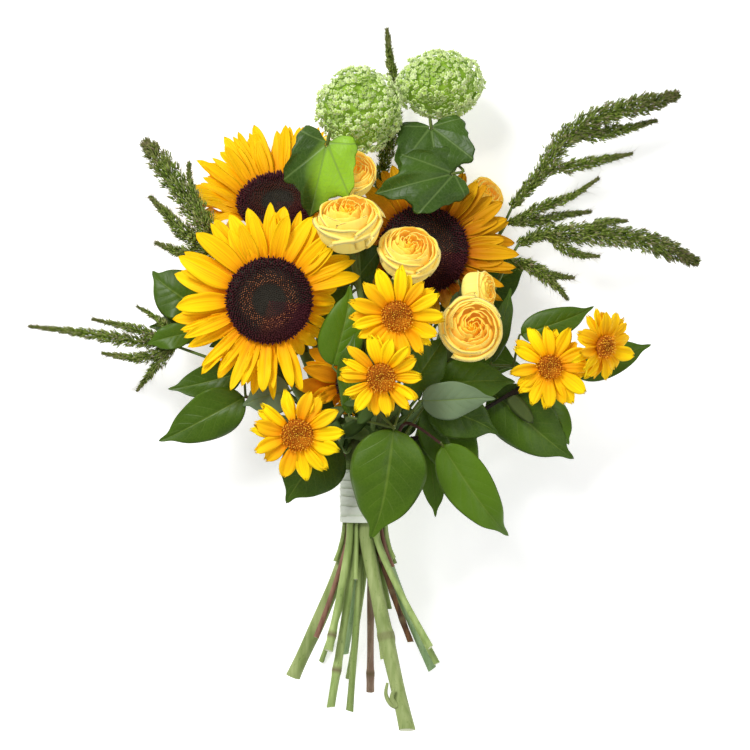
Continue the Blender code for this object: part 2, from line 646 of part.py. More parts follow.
def sunflower(letter, path, bouquet):
    at, facing, disc, _, _, pressed, _ = SUNFLOWERS[letter]
    name = "sunflower_" + letter
    rng = random.Random(SEED + ord(letter))
    frame = facing_frame(at, facing)
    petals = mesh_from(sunflower_petals(letter, rng), frame)
    node(name + "_petals", [petals], "deep_petal" if letter == "d" else "petal", bouquet)

    # The disc is a low dome with a raised rim of florets and a sunken middle, roughened all over.
    top = ((disc * 0.84, 8.0), (disc * 0.56, 6.6), (disc * 0.28, 5.0), (0, 4.8))
    rows = ((0, 1.8), (disc - 3, 1.8), (disc, 4.6), *top)

    def roughen(point, side):
        if point.z < 2:
            return point
        odd = (round(point.xy.length / disc * 5) + side) % 2
        push = 1.06 if odd and point.z < 5 else 0.97
        return Vector((point.x * push, point.y * push, point.z + (0.9 if odd else -0.5)))

    node(name + "_disc", [turned(rows, 18 if disc > 20 else 10, frame, roughen)], "disc", bouquet)

    # Behind the petals: a cup that runs into the stem, with pointed bracts.
    radius = STEMS[name + "_stem"][0]
    neck = -disc * 0.36 - 5
    sides = 8 if disc > 20 else 6
    bm = bmesh.new()
    levels = ((disc * 0.5, -2.8), (disc * 0.68, -5.6), (disc * 0.62, -7.0), (radius * 0.85, neck))
    rings = [ring(bm, sides, r, h) for r, h in levels]
    bm.faces.new(rings[0])
    bm.faces.new(rings[-1][::-1])
    band(bm, rings[0], rings[1])
    band(bm, rings[2], rings[3])
    for i in range(sides):
        angle = 360 / sides * i
        length = disc * rng.uniform(0.7, 0.9)
        if pressed_back(angle, pressed, 40):
            length = disc * 0.28
        bract = ray(BRACT, angle, disc * 0.68, length, disc * 0.4, -5.8, (-10, 2), columns=1)
        skin(bm, bract, side_root(rings[1], rings[2], i))
    top = [frame @ Vector((0, 0, neck - 8)), frame @ Vector((0, 0, neck + 3))]
    stem = stem_tube(path + top, radius, 6, 0.82)
    node(name + "_stem", [mesh_from(bm, frame), stem], "stem", bouquet)


def rose(name, bouquet):
    """Rings of cupped petals, which grow from the sides of a small hub with a bud on top."""
    at, facing, size, count, layers = ROSES[name]
    frame = facing_frame(at, facing)
    rng = random.Random(name)
    bm = bmesh.new()
    shapes = ((0.95, 0.28, 0.12), (0.72, 0.46, 0.0), (0.50, 0.60, -0.10))[-layers:]
    foot = -0.84
    last = None
    for layer, (radius, top, flare) in enumerate(shapes):
        turn = 180 / count * layer
        base = foot + 0.11 * layer
        hub = 0.34 - 0.03 * layer
        low = ring(bm, count, hub, base, turn)
        high = ring(bm, count, hub, base + 0.05, turn)
        if last:
            band(bm, last, low, True)
        else:
            bm.faces.new(low[::-1])
        last = high
        for i in range(count):
            angle = 360 / count * i + turn
            span = 360 / count * (0.56, 0.55, 0.52)[layer]
            lift = rng.uniform(-0.03, 0.06)

            def place(across, along, share, angle=angle, span=span, lift=lift):
                round_off = math.radians(angle - across * share * span)
                belly = math.sin(math.pi / 2 * min(1, along * 1.8))
                out = hub + (radius - hub) * belly + flare * max(0, along - 0.5) * 2 + 0.075 * across * along
                height = base + (top + lift - base) * along ** 1.15 - 0.10 * abs(across) ** 2 * along
                return Vector((out * math.cos(round_off), out * math.sin(round_off), height))

            columns = 3 if layer < len(shapes) - 1 else 2
            petal = sections_of(place, ROSE_PETAL, columns, -BLADE / size)
            skin(bm, petal, side_root(low, high, i))
    collar = ring(bm, count, 0.26, 0.25, 180 / count * len(shapes))
    band(bm, last, collar, True)
    tip = bm.verts.new((0, 0, 0.48))
    for i in range(count):
        bm.faces.new((collar[i], collar[(i + 1) % count], tip))
    bmesh.ops.scale(bm, vec=(size, size, size), verts=bm.verts[:])
    node(name, [mesh_from(bm, frame)], "rose", bouquet)


def calyx(size, frame, sepals=5):
    """The green hip and its sepals under a rose."""
    bm = bmesh.new()
    levels = ((0.26, -0.857), (0.34, -0.93), (0.32, -1.0), (0.12, -1.2))
    rings = [ring(bm, sepals, r * size, h * size) for r, h in levels]
    bm.faces.new(rings[0])
    bm.faces.new(rings[-1][::-1])
    band(bm, rings[0], rings[1])
    band(bm, rings[2], rings[3])
    for i in range(sepals):
        angle = 360 / sepals * i
        sepal = ray(SEPAL, angle, size * 0.34, size * 0.45, size * 0.3, -size * 0.96, (-6, 6), columns=1)
        skin(bm, sepal, side_root(rings[1], rings[2], i))
    return [mesh_from(bm, frame)]


def daisy(name, bouquet):
    at, facing, reach, count, middle = DAISIES[name]
    frame = facing_frame(at, facing)
    rng = random.Random(name)
    bm = bmesh.new()
    drum = middle - 1.0
    rings = [ring(bm, count, drum, 0.9), ring(bm, count, drum, -0.1)]
    bm.faces.new(rings[0])
    bm.faces.new(rings[1][::-1])
    width = 2.0 * math.pi * reach * 0.58 / count
    for i in range(count):
        length = (reach - drum) * rng.uniform(0.92, 1.06)
        slopes = (10 + rng.uniform(-4, 4), -8 + rng.uniform(-8, 8))
        angle = 360 / count * i + rng.uniform(-1.2, 1.2)
        twist = rng.uniform(-8, 8)
        petal = ray(DAISY_RAY, angle, drum, length, width, 0.8, slopes, 0.12, twist, 0.10)
        skin(bm, petal, side_root(*rings, i))
    node(name + "_petals", [mesh_from(bm, frame)], "daisy", bouquet)

    def bristle(point, side):
        odd = (side + round(point.xy.length / middle * 3)) % 2
        return point if point.z < 1.6 or point.xy.length < 1 else point + Vector((0, 0, 1.3 if odd else -0.5))

    top = ((middle * 0.66, 5.4), (middle * 0.33, 6.2), (0, 5.4))
    dome = ((0, 1.3), (middle - 2.4, 1.3), (middle, 3.4), *top)
    node(name + "_centre", [turned(dome, 8, frame, bristle)], "daisy_centre", bouquet)


def daisy_cup(name):
    at, facing, _, _, middle = DAISIES[name]
    frame = facing_frame(at, facing)
    cup = ((0, -0.6), (middle * 0.75, -0.6), (middle * 0.6, -5.0), (1.9, -8.5), (0, -9.0))
    return turned(cup, 7, frame)


def snowball(name, bouquet):
    """A head of florets. Their middles are spread evenly, and the hull of these gives the neighbours. On
    each of its triangles the florets' lobes rise towards its middle, with deep creases between them."""
    at, radii, count, _ = SNOWBALLS[name]
    rng = random.Random(name)
    golden = math.pi * (3 - math.sqrt(5))
    hull = bmesh.new()
    for i in range(count):
        height = 1 - 2 * (i + 0.5) / count
        around = math.sqrt(1 - height * height)
        turn = golden * i + rng.uniform(-0.05, 0.05)
        hull.verts.new((around * math.cos(turn), around * math.sin(turn), height))
    bmesh.ops.convex_hull(hull, input=hull.verts[:])
    bm = bmesh.new()

    def vert(direction, height):
        way = direction.normalized() * height
        return bm.verts.new(Vector(at) + Vector(a * b for a, b in zip(way, radii)))

    hearts = {v: vert(v.co, 0.97) for v in hull.verts}
    creases = {e: vert(e.verts[0].co + e.verts[1].co, 0.90) for e in hull.edges}
    for face in hull.faces:
        middle = face.calc_center_median()
        deep = vert(middle, 0.84)
        for loop in face.loops:
            before, after = creases[loop.link_loop_prev.edge], creases[loop.edge]
            heart = hearts[loop.vert]
            lobe = vert(loop.vert.co * 0.42 + middle * 0.58, 1.04)
            bm.faces.new((heart, after, lobe))
            bm.faces.new((after, deep, lobe))
            bm.faces.new((heart, lobe, before))
            bm.faces.new((lobe, deep, before))
    hull.free()
    node(name, [mesh_from(bm)], "floret", bouquet)


def spike(points, radius):
    """A spike of spikelets: a slim core, whose rings are drawn out by turns into points that lean forward."""
    path = smooth_path(points, 7.5 + 0.3 * radius)
    count = len(path) - 1
    shares = [min(1.0, 0.45 + 2.4 * i / count, 0.12 + 2.2 * (1 - i / count)) for i in range(count + 1)]

    def drawn(row, side, off):
        forward = (path[row + 1] - path[row - 1]).normalized()
        if (row + side) % 2:
            return off * 2.6 + forward * off.length * 1.5
        return off

    radii = [max(0.6, radius * 0.38 * share) for share in shares]
    return tube(path, radii, 6 if radius > 5.5 else 4, drawn)


def panicle(name, path, bouquet):
    pieces = [stem_tube(path, STEMS[name][0], 4, 0.7)]
    pieces += [spike(points, radius) for points, radius in SPIKES[name]]
    node(name, pieces, "panicle", bouquet)


def leaf(start, base, tip, width, roll, arch, fold, outline=SALAL, phase=0.0):
    """A leaf with its stalk: arched along, folded along its midrib, with a waved edge."""
    start, base, tip = Vector(start), Vector(base), Vector(tip)
    way = (tip - base).normalized()
    if (base - start).length < 4:
        base = start + way
        start = base - way * 2.5
    ahead = tip - base
    length = ahead.length
    side = ahead.cross(Vector((0, 0, 1))).normalized()
    side = Matrix.Rotation(math.radians(roll), 3, ahead) @ side
    face = side.cross(ahead).normalized()

    def place(across, along, share):
        off = across * share * width / 2
        wave = 0.35 * fold * width * math.sin(9 * along + phase + across) * abs(across) * share
        rise = arch * length * 4 * along * (1 - along) + fold * abs(off) + wave
        return base + ahead * along - side * off + face * rise

    bm = bmesh.new()
    route = [start, base - way]
    if (base - start).angle(ahead) > math.radians(50):
        route.insert(1, base - way * 5)
    path = smooth_path(route, 22)
    skin(bm, stalk_sections(path, ahead, side, 0.9) + sections_of(place, outline, 2, -LEAF))
    return mesh_from(bm)


def stalk_sections(path, leaf_ahead, side, radius):
    """Square sections along a leaf's stalk, whose last one faces as the leaf's base does."""
    steps = [(after - point).normalized() for point, after in zip(path, path[1:])]
    ways = [steps[0]] + [(first + second).normalized() for first, second in zip(steps, steps[1:])]
    before = leaf_ahead.normalized()
    sections = []
    for point, ahead in zip(path[::-1], [before, *ways[::-1]]):
        side = before.rotation_difference(ahead) @ side
        across, up = side * radius, side.cross(ahead) * radius
        top = [point + across + up, point - across + up]
        sections.append((top, [corner - up * 2 for corner in top]))
        before = ahead
    return sections[::-1]


def lobed_leaf(start, base, tip, width, roll):
    """A leaf with three main lobes and a few teeth, fanned out from its base."""
    base, tip = Vector(base), Vector(tip)
    ahead = tip - base
    side = ahead.cross(Vector((0, 0, 1))).normalized()
    side = Matrix.Rotation(math.radians(roll), 3, ahead) @ side
    face = side.cross(ahead).normalized()

    def place(across, along, share):
        off = across * share * width / 2
        back = 0.10 * abs(across) * share * (1 - along)
        rise = 20 * along * (1 - along) + 0.14 * abs(off)
        return base + ahead * (along - back) - side * off + face * rise

    bm = bmesh.new()
    way = ahead.normalized()
    path = smooth_path([*start, base - way * 7, base - way], 22)
    skin(bm, stalk_sections(path, ahead, side, 1.1) + sections_of(place, LOBES, 2, -LEAF))
    return mesh_from(bm)


def stalk(path, share, points, radius):
    """A side branch, from inside the stem's path on."""
    low = path[min(len(path) - 1, round(share * (len(path) - 1)))]
    route = smooth_path([low, *points], 20)
    return tube(route, [radius] * len(route), 4)


def leafy_stem(name, path, bouquet):
    pieces = [stem_tube(path, STEMS[name][0], 4, 0.6)]
    for i, (owner, share, base, tip, width, roll, arch, fold) in enumerate(LEAVES):
        if owner == name:
            start = path[min(len(path) - 1, round(share * (len(path) - 1)))]
            outline = NARROW if width < 19 else SMALL if width < 30 else SALAL
            pieces.append(leaf(start, base, tip, width, roll, arch, fold, outline, 1.7 * i))
    node(name, pieces, "salal", bouquet, press="back" in name)


def branched_stem(name, path, pieces, forks, bouquet):
    """A stem with side branches: forks are (share of the path, points of the branch, radius)."""
    radius = STEMS[name][0]
    pieces = [stem_tube(path, radius, 4 if radius < 2.5 else 6, 0.7), *pieces]
    for share, points, radius in forks:
        pieces.append(stalk(path, share, points, radius))
    node(name, pieces, "stem", bouquet)


def under(table, name, depth):
    """The point that far behind a head's middle."""
    at, facing = table[name][:2]
    return facing_frame(at, facing) @ Vector((0, 0, -depth))


def waist_share(along):
    return math.hypot(1, FAN_WIDE * max(0.0, abs(along) - WAIST))


def binding(slots, bouquet):
    """The wound tape: a sleeve that follows the bundle's waist, with slanting turns."""
    bundle = max(math.hypot(*slots[name]) + STEMS[name][0] for name in STEMS) + GAP
    half = TIE_LENGTH / 2
    rows = 9
    outer = []
    for i in range(rows):
        along = half - TIE_LENGTH * i / (rows - 1)
        outer.append((bundle + TAPE + (0.5 if i % 2 else 0.0), along))
    inner = ((bundle, -half), (bundle, half))

    def slant(point, side):
        return point + Vector((0, 0, 0.16 * point.x * (1 - abs(point.z) / half)))

    frame = Matrix.Translation(TIE) @ Matrix.Rotation(math.radians(-90), 4, "X")
    node("binding", [turned((*outer, *inner), 16, frame, slant)], "tape", bouquet)


def main():
    clear_scene()
    bouquet = collection("bouquet")
    paths, slots = stem_paths()
    binding(slots, bouquet)
    for letter in SUNFLOWERS:
        sunflower(letter, paths[f"sunflower_{letter}_stem"], bouquet)
    for name in ROSES:
        rose(name, bouquet)
    for name in DAISIES:
        daisy(name, bouquet)
    for name in SNOWBALLS:
        snowball(name, bouquet)
    for name in SPIKES:
        panicle(name, paths[name], bouquet)
    for name in STEMS:
        if name.startswith("salal"):
            leafy_stem(name, paths[name], bouquet)

    def rose_base(name):
        return [under(ROSES, name, ROSES[name][2] * 1.3), under(ROSES, name, ROSES[name][2] * 1.05)]

    def rose_cups(*names):
        return [p for name in names for p in calyx(ROSES[name][2], facing_frame(*ROSES[name][:2]))]

    path = paths["rose_stems_middle"] + rose_base("rose_1")
    forks = (
        (0.62, ((12, 58, 76), (23, 69, 81), *rose_base("rose_2")), 1.8),
        (0.76, ((-6, 100, 70), (-11, 122, 67), *rose_base("rose_5")), 1.6),
    )
    branched_stem("rose_stems_middle", path, rose_cups("rose_1", "rose_2", "rose_5"), forks, bouquet)
    path = paths["rose_stems_right"] + rose_base("rose_3")
    forks = (
        (0.74, ((60, 30, 76), (60, 50, 78), *rose_base("rose_4")), 1.6),
        (0.56, ((50, 20, 42), (66, 75, 33), (76, 108, 18), *rose_base("rose_6")), 1.6),
    )
    branched_stem("rose_stems_right", path, rose_cups("rose_3", "rose_4", "rose_6"), forks, bouquet)

    def daisy_base(name):
        return [under(DAISIES, name, 14), under(DAISIES, name, 5)]

    path = paths["daisy_stems_middle"] + daisy_base("daisy_2")
    forks = ((0.72, ((16, 12, 108), (20, 32, 114), *daisy_base("daisy_1")), 1.5),)
    branched_stem("daisy_stems_middle", path, [daisy_cup("daisy_1"), daisy_cup("daisy_2")], forks, bouquet)
    path = paths["daisy_stem_left"] + daisy_base("daisy_3")
    branched_stem("daisy_stem_left", path, [daisy_cup("daisy_3")], (), bouquet)
    path = paths["daisy_stems_right"] + daisy_base("daisy_4")
    forks = ((0.78, ((132, -2, 74), (152, 12, 76), *daisy_base("daisy_5")), 1.4),)
    branched_stem("daisy_stems_right", path, [daisy_cup("daisy_4"), daisy_cup("daisy_5")], forks, bouquet)

    tops = {"viburnum_stem_left": "snowball_left", "viburnum_stem_right": "snowball_right"}
    for name, head in tops.items():
        at, _, _, below = SNOWBALLS[head]
        neck = Vector(at) - Vector((0, below, 4))
        path = paths[name] + [neck]
        pieces = [stem_tube(path, STEMS[name][0], 6, 0.7)]
        for owner, share, points, base, tip, width, roll in LOBED:
            if owner == name:
                start = path[min(len(path) - 1, round(share * (len(path) - 1)))]
                pieces.append(lobed_leaf((start, *points), base, tip, width, roll))
        node(name, pieces, "lobed", bouquet)


main()
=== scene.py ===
"""The bouquet's looks: every petal, floret, leaf, spikelet and stem as a finer piece in place of its solid.

+X is the bouquet's right, +Y its top and +Z its front, which faces up, and the camera looks straight down on
it. Every surface is a grid of points worked out from two parameters. Paint, kept at each point, is how far
across the surface it is from -1 to 1, how far along from 0 to 1, and a tone of the blade's own; side is 1 on
the face and 0 on the underside.
"""

import math
import random

import bpy
import numpy as np
from mathutils import Matrix, Vector


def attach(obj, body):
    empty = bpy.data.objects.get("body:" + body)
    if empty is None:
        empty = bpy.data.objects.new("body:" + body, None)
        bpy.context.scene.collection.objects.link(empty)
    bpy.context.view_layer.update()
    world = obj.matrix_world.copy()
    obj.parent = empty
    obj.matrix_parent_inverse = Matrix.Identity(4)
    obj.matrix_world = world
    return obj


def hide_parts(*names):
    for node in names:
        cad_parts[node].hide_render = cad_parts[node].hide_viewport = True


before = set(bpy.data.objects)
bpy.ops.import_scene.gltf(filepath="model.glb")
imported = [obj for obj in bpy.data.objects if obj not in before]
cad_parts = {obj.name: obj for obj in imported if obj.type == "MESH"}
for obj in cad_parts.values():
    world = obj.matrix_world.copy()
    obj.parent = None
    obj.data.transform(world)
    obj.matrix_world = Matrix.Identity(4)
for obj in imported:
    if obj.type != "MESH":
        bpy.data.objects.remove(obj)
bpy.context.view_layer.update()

MM = 0.001
TAU = math.tau
SEED = 11

# The binding, and the stems that pass through it side by side, as in the part's source.
TIE = Vector((0.0, -83.0, 50.0))
TIE_LENGTH = 37.0
TAPE = 1.3
GAP = 0.35
WAIST = 20.0
FAN_WIDE = 0.042
FAN_DEEP = 0.034
FAN_TURN = 0.6
COLLAR = 34.0
PACKING_TURNS = 700
EASING_TURNS = 120
BELOW = (38, 20, -20)
REST_HEIGHT = 1.1

# Stems: radius, place in the binding (right, front), how far the foot reaches below the binding's middle.
STEMS = {
    "sunflower_a_stem": (5.1, -1.0, 8.5, 161),
    "sunflower_b_stem": (4.8, -11.0, 1.0, 128),
    "sunflower_c_stem": (3.5, 11.5, -2.0, 114),
    "sunflower_d_stem": (2.4, -3.0, 2.0, 151),
    "rose_stems_middle": (2.8, -6.0, 7.0, 147),
    "rose_stems_right": (3.1, 13.5, 2.0, 122),
    "daisy_stems_middle": (2.1, 4.0, 12.5, 104),
    "daisy_stem_left": (2.7, -10.5, 8.5, 107),
    "daisy_stems_right": (1.9, 10.0, 8.0, 102),
    "viburnum_stem_left": (3.1, -1.0, -4.0, 112),
    "viburnum_stem_right": (2.5, 6.0, -6.0, 140),
    "salal_left": (1.7, -13.0, -4.0, 70),
    "salal_lower_left": (1.8, -13.0, 4.0, 99),
    "salal_behind_daisy": (1.5, -6.0, 13.0, 58),
    "salal_front": (2.0, 7.0, 11.5, 116),
    "salal_lower_right": (1.8, 10.0, -7.0, 80),
    "salal_twig": (1.6, 12.0, 6.0, 50),
    "salal_right": (2.3, 14.0, -4.0, 88),
    "salal_far_right": (1.7, 12.0, -8.0, 62),
    "salal_back_left": (1.8, -6.0, -15.0, 120),
    "salal_back_right": (1.8, 3.0, -15.0, 132),
    "panicle_top": (1.2, 0.0, -10.0, 50),
    "panicles_upper_left": (1.5, -11.0, -7.0, 56),
    "panicles_left": (1.5, -14.0, 0.0, 46),
    "panicle_upper_right": (1.5, 7.0, -11.0, 52),
    "panicles_inner_right": (1.3, 9.0, -10.0, 45),
    "panicle_right": (1.5, 14.0, -1.0, 48),
    "panicle_lower_right": (1.3, 14.5, 4.0, 44),
}

# Where each stem goes above the binding, up to what it carries.
ROUTES = {
    "sunflower_a_stem": ((-28, -38, 60), (-50, -6, 54), (-60, 34, 60)),
    "sunflower_b_stem": ((-32, -20, 38), (-52, 50, 32), (-59, 95, 20)),
    "sunflower_c_stem": ((25, -20, 44), (38, 40, 34), (41, 75, 34)),
    "sunflower_d_stem": ((-8, -38, 44), (-14, -22, 36)),
    "rose_stems_middle": ((1, -30, 70), (3, 6, 80), (-4, 62, 81), (-9, 84, 84)),
    "rose_stems_right": ((40, -25, 64), (64, 8, 74), (71, 26, 82)),
    "daisy_stems_middle": ((6, -34, 84), (10, -14, 106), (11, -6, 122)),
    "daisy_stem_left": ((-16, -40, 76), (-32, -31, 98), (-43, -36, 108)),
    "daisy_stems_right": ((58, -35, 71), (100, -12, 72), (121, 1, 72)),
    "viburnum_stem_left": ((-4, 0, 38), (2, 90, 28), (3, 140, 34)),
    "viburnum_stem_right": ((20, 0, 34), (46, 90, 24), (49, 150, 28)),
    "salal_left": ((-45, -20, 42), (-90, 22, 46), (-116, 42, 50)),
    "salal_lower_left": ((-42, -30, 62), (-66, -18, 64), (-83.5, -13.5, 63.5)),
    "salal_behind_daisy": ((-14, -52, 78), (-22, -40.5, 90.5)),
    "salal_front": ((15, -42, 84), (20, -34.5, 111)),
    "salal_lower_right": ((28, -50, 56), (40, -28, 70), (45.5, -16.5, 79)),
    "salal_twig": ((19, -52, 74), (26, -33, 90), (36, -34, 96), (53, -46, 94)),
    "salal_right": ((48, -38, 58), (84, -9, 64), (120, -12, 58)),
    "salal_far_right": ((60, -14, 46), (104, 8, 56), (145, 4, 60)),
    "salal_back_left": ((-24, 0, 20), (-44, 34, 4), (-53, 54, 0.8)),
    "salal_back_right": ((26, 0, 18), (46, 30, 4), (60, 55, 0.8)),
    "panicle_top": ((2, 0, 26), (7, 80, 14), (9, 134, 16)),
    "panicles_upper_left": ((-48, 0, 38), (-84, 42, 54), (-96, 72, 66), (-98, 89, 68)),
    "panicles_left": ((-50, -12, 52), (-105, 12, 54), (-133, 22, 52)),
    "panicle_upper_right": ((45, 10, 26), (92, 95, 24), (104, 121, 32)),
    "panicles_inner_right": ((52, 8, 34), (88, 88, 34), (100, 109, 38)),
    "panicle_right": ((55, 0, 42), (94, 70, 42), (108, 94, 46)),
    "panicle_lower_right": ((52, -12, 52), (88, 55, 46), (101, 83, 48)),
}

# Sunflowers: middle of the disc, the way it faces, disc radius, petal length, petals in each of two layers,
# the stretch of petals (from, to) that neighbours press back, and how far the others rise above the disc.
SUNFLOWERS = {
    "a": ((-66, 53, 90), (-0.02, 0.05, 1.0), 30, 41, 16, (-62, 8), 0),
    "b": ((-61, 121, 44), (-0.08, 0.70, 0.72), 29, 42, 14, (-150, 12), 24),
    "c": ((41, 89, 58), (0.0, 0.08, 1.0), 31, 37, 14, (170, 300), 4),
    "d": ((-8, -4, 61), (0.40, -0.05, 0.90), 15, 29, 9, (-125, 90), 0),
}

# Roses: middle of the bloom, the way it faces, radius, petals in a ring, and the rings in the source. A bloom
# with two of them lacks the widest ring here too.
ROSES = {
    "rose_1": ((-11, 109, 116), (-0.03, 0.50, 1.0), 22, 5, 3),
    "rose_2": ((31, 87, 112), (0.15, 0.45, 1.0), 20, 5, 3),
    "rose_3": ((73.5, 34, 110), (0.08, 0.12, 1.0), 20.5, 5, 3),
    "rose_4": ((81, 60, 88), (0.85, 0.1, 0.45), 14.5, 5, 2),
    "rose_5": ((-8, 143, 83), (0.2, 0.3, 1.0), 16.5, 5, 2),
    "rose_6": ((85, 129, 24), (0.5, 0.5, 0.8), 14, 5, 2),
}

# Daisies: middle, the way it faces, outer radius, petals, radius of the centre.
DAISIES = {
    "daisy_1": ((22, 42, 134), (0.0, -0.13, 1.0), 35, 13, 10.5),
    "daisy_2": ((11, 0.4, 139), (0.02, -0.2, 1.0), 31, 14, 10),
    "daisy_3": ((-46, -39, 118), (-0.05, -0.1, 1.0), 34, 13, 11),
    "daisy_4": ((128, 7.4, 88), (0.05, -0.05, 1.0), 31, 12, 8.5),
    "daisy_5": ((164.5, 22, 88), (0.62, -0.2, 0.7), 29, 12, 8),
}

# Snowballs: middle, radii across, along and deep, how far below the middle the stem ends.
SNOWBALLS = {
    "snowball_left": ((-4, 187, 68), (30, 30, 30), 31.4),
    "snowball_right": ((53, 206, 46), (31, 24, 27), 24.5),
}

# Leaves: stem that carries it, where its stalk leaves the stem, base, tip, width, roll about its midrib,
# arch, and how far its sides fold up.
LEAVES = (
    ("salal_left", 0.90, (-119, 50, 48), (-152, 72, 42), 36, 0, 0.10, 0.10),
    ("salal_left", 0.86, (-116, 34, 44), (-152, 36, 38), 24, 0, 0.06, 0.10),
    ("salal_left", 1.00, (-120, 32, 61), (-153, 25, 60), 18, 0, 0.06, 0.15),
    ("salal_lower_left", 0.97, (-86, 4, 60), (-138, -9, 54), 25, 0, 0.06, 0.12),
    ("salal_lower_left", 1.00, (-84, -14, 64), (-143, -47, 54), 34, 0, 0.07, 0.12),
    ("salal_lower_left", 0.86, (-52, -9, 71), (-86, -18, 70), 28, 0, 0.05, 0.08),
    ("salal_behind_daisy", 1.00, (-22, -40, 91), (-57, -85, 82), 46, 0, 0.08, 0.10),
    ("salal_front", 1.00, (21, -34, 112), (8, -112, 90), 53, 0, 0.08, 0.10),
    ("salal_front", 1.00, (-11, -26, 97), (-9, 31, 106), 18, -25, 0.06, 0.20),
    ("salal_front", 1.00, (-22, 8, 92), (-8, 63, 93), 31, 5, 0.06, 0.08),
    ("salal_front", 0.90, (27, -52, 82), (33, -88, 66), 20, 0, 0.05, 0.10),
    ("salal_twig", 0.70, (44, -18, 87), (94, -36, 84), 36, 0, 0.05, 0.10),
    ("salal_front", 0.96, (30, -8, 94), (56, 30, 92), 30, 0, 0.05, 0.10),
    ("salal_lower_right", 1.00, (46, -16, 80), (76, -81, 62), 38, 0, 0.07, 0.10),
    ("salal_lower_right", 0.84, (44, -48, 58), (50, -99, 44), 19, 0, 0.05, 0.10),
    ("salal_lower_right", 1.00, (50, -4, 80), (104, 0, 76), 34, 0, 0.04, 0.10),
    ("salal_twig", 1.00, (55, -48, 95), (100, -113, 66), 34, 0, 0.08, 0.12),
    ("salal_right", 0.90, (88, -10, 67), (145, -60, 46), 42, 0, 0.07, 0.10),
    ("salal_twig", 0.80, (39, -16, 98), (90, -12, 102), 28, 18, 0.10, 0.12),
    ("salal_right", 1.00, (124, -16, 60), (145, -47, 50), 24, 0, 0.06, 0.10),
    ("salal_far_right", 0.92, (109, 30, 62), (161, 48, 58), 23, 0, 0.08, 0.10),
    ("salal_far_right", 1.00, (147, 4, 62), (201, 22, 50), 26, 0, 0.08, 0.12),
    ("salal_far_right", 0.88, (88, 10, 64), (102, 63, 64), 15, 20, 0.03, 0.15),
    ("salal_back_left", 0.97, (-54, 57, 0.8), (-98, 112, 0.8), 44, 0, 0.0, 0.0),
    ("salal_back_left", 0.90, (-48, 34, 3), (-112, 26, 2.5), 40, 0, 0.03, 0.04),
    ("salal_back_left", 0.84, (-34, 30, 8), (-22, 96, 8), 42, 0, 0.03, 0.04),
    ("salal_back_left", 0.76, (-12, 2, 14), (14, 66, 12), 38, 0, 0.03, 0.04),
    ("salal_back_right", 1.00, (62, 57, 0.8), (118, 82, 0.8), 42, 0, 0.0, 0.0),
    ("salal_back_right", 0.94, (49, 52, 4), (42, 122, 2), 40, 0, 0.03, 0.04),
    ("salal_back_right", 0.88, (50, 24, 4.6), (114, 8, 2), 38, 0, 0.03, 0.04),
)

# Lobed leaves of the viburnum: stem, where its stalk leaves the stem, points of the stalk, base, tip, width,
# roll, and the side that the light shines through.
LOBED = (
    ("viburnum_stem_right", 1.0, ((48, 170, 50), (46, 179, 62)), (46, 175, 68), (52, 128, 74), 54, 0, 0),
    ("viburnum_stem_right", 0.96, ((62, 163, 44), (64, 150, 68)), (62, 142, 76), (8, 128, 84), 44, 0, 0),
    (
        "viburnum_stem_left", 0.98, ((-12, 152, 56), (-24, 160, 84)),
        (-26, 162, 100), (-38, 112, 84), 48, 0, -1,
    ),
    ("viburnum_stem_left", 0.70, ((-6, 62, 42),), (-9, 66, 54), (-2, 112, 64), 32, 0, 0),
)

# Panicles: the stem that carries them, and for each spike its points and its greatest radius.
SPIKES = {
    "panicle_top": (
        (((9, 134, 16), (15, 159, 18), (21, 201, 22), (17.5, 226, 26), (15.5, 246, 30)), 7.0),
    ),
    "panicles_upper_left": (
        (((-98, 89, 71), (-119, 117, 83), (-142, 150, 78), (-154, 165, 71)), 9.0),
        (((-98, 89, 70), (-112, 108, 84), (-121, 136, 88), (-122, 149, 86)), 4.5),
        (((-98, 89, 68), (-124, 100, 66), (-150, 126, 62)), 7.5),
        (((-98, 89, 68), (-122, 86, 67), (-146, 94, 64)), 6.0),
    ),
    "panicles_left": (
        (((-133, 22, 52), (-165, 26, 52), (-195, 31, 50), (-236, 36, 46)), 4.6),
        (((-133, 22, 52), (-158, 33, 56), (-191, 41, 54)), 3.6),
        (((-133, 22, 52), (-158, 14, 52), (-184, 17, 50)), 4.4),
        (((-133, 22, 52), (-146, 9, 50), (-160, -9, 48)), 4.0),
        (((-133, 22, 52), (-142, 38, 52), (-160, 50, 48)), 2.6),
    ),
    "panicle_upper_right": (
        (((104, 121, 32), (125, 145, 34), (142, 169, 36), (168, 185, 38), (206, 195, 40), (221, 200, 40)), 8),
        (((142, 169, 36), (168, 173, 32), (188, 177, 30), (206, 182, 28)), 6.0),
        (((125, 145, 34), (160, 152, 36), (188, 158, 36)), 5.0),
    ),
    "panicles_inner_right": (
        (((100, 109, 38), (127, 121, 42), (146, 128, 44), (164, 140, 46)), 4.0),
        (((100, 109, 38), (125, 111, 36), (142, 115, 35), (159, 117, 34)), 4.4),
    ),
    "panicle_right": (
        (((108, 94, 46), (127, 101, 46), (153, 101, 48), (178, 99, 48), (204, 94, 46), (235, 81, 42)), 8.2),
        (((127, 101, 46), (146, 88, 50), (164, 85, 50)), 4.4),
        (((153, 101, 48), (168, 109, 50), (184, 110, 50)), 3.8),
    ),
    "panicle_lower_right": (
        (((101, 83, 48), (116, 78, 50), (129, 72, 52), (146, 70, 52)), 5.2),
        (((116, 78, 50), (134, 64, 54), (142, 55, 55)), 4.2),
    ),
}

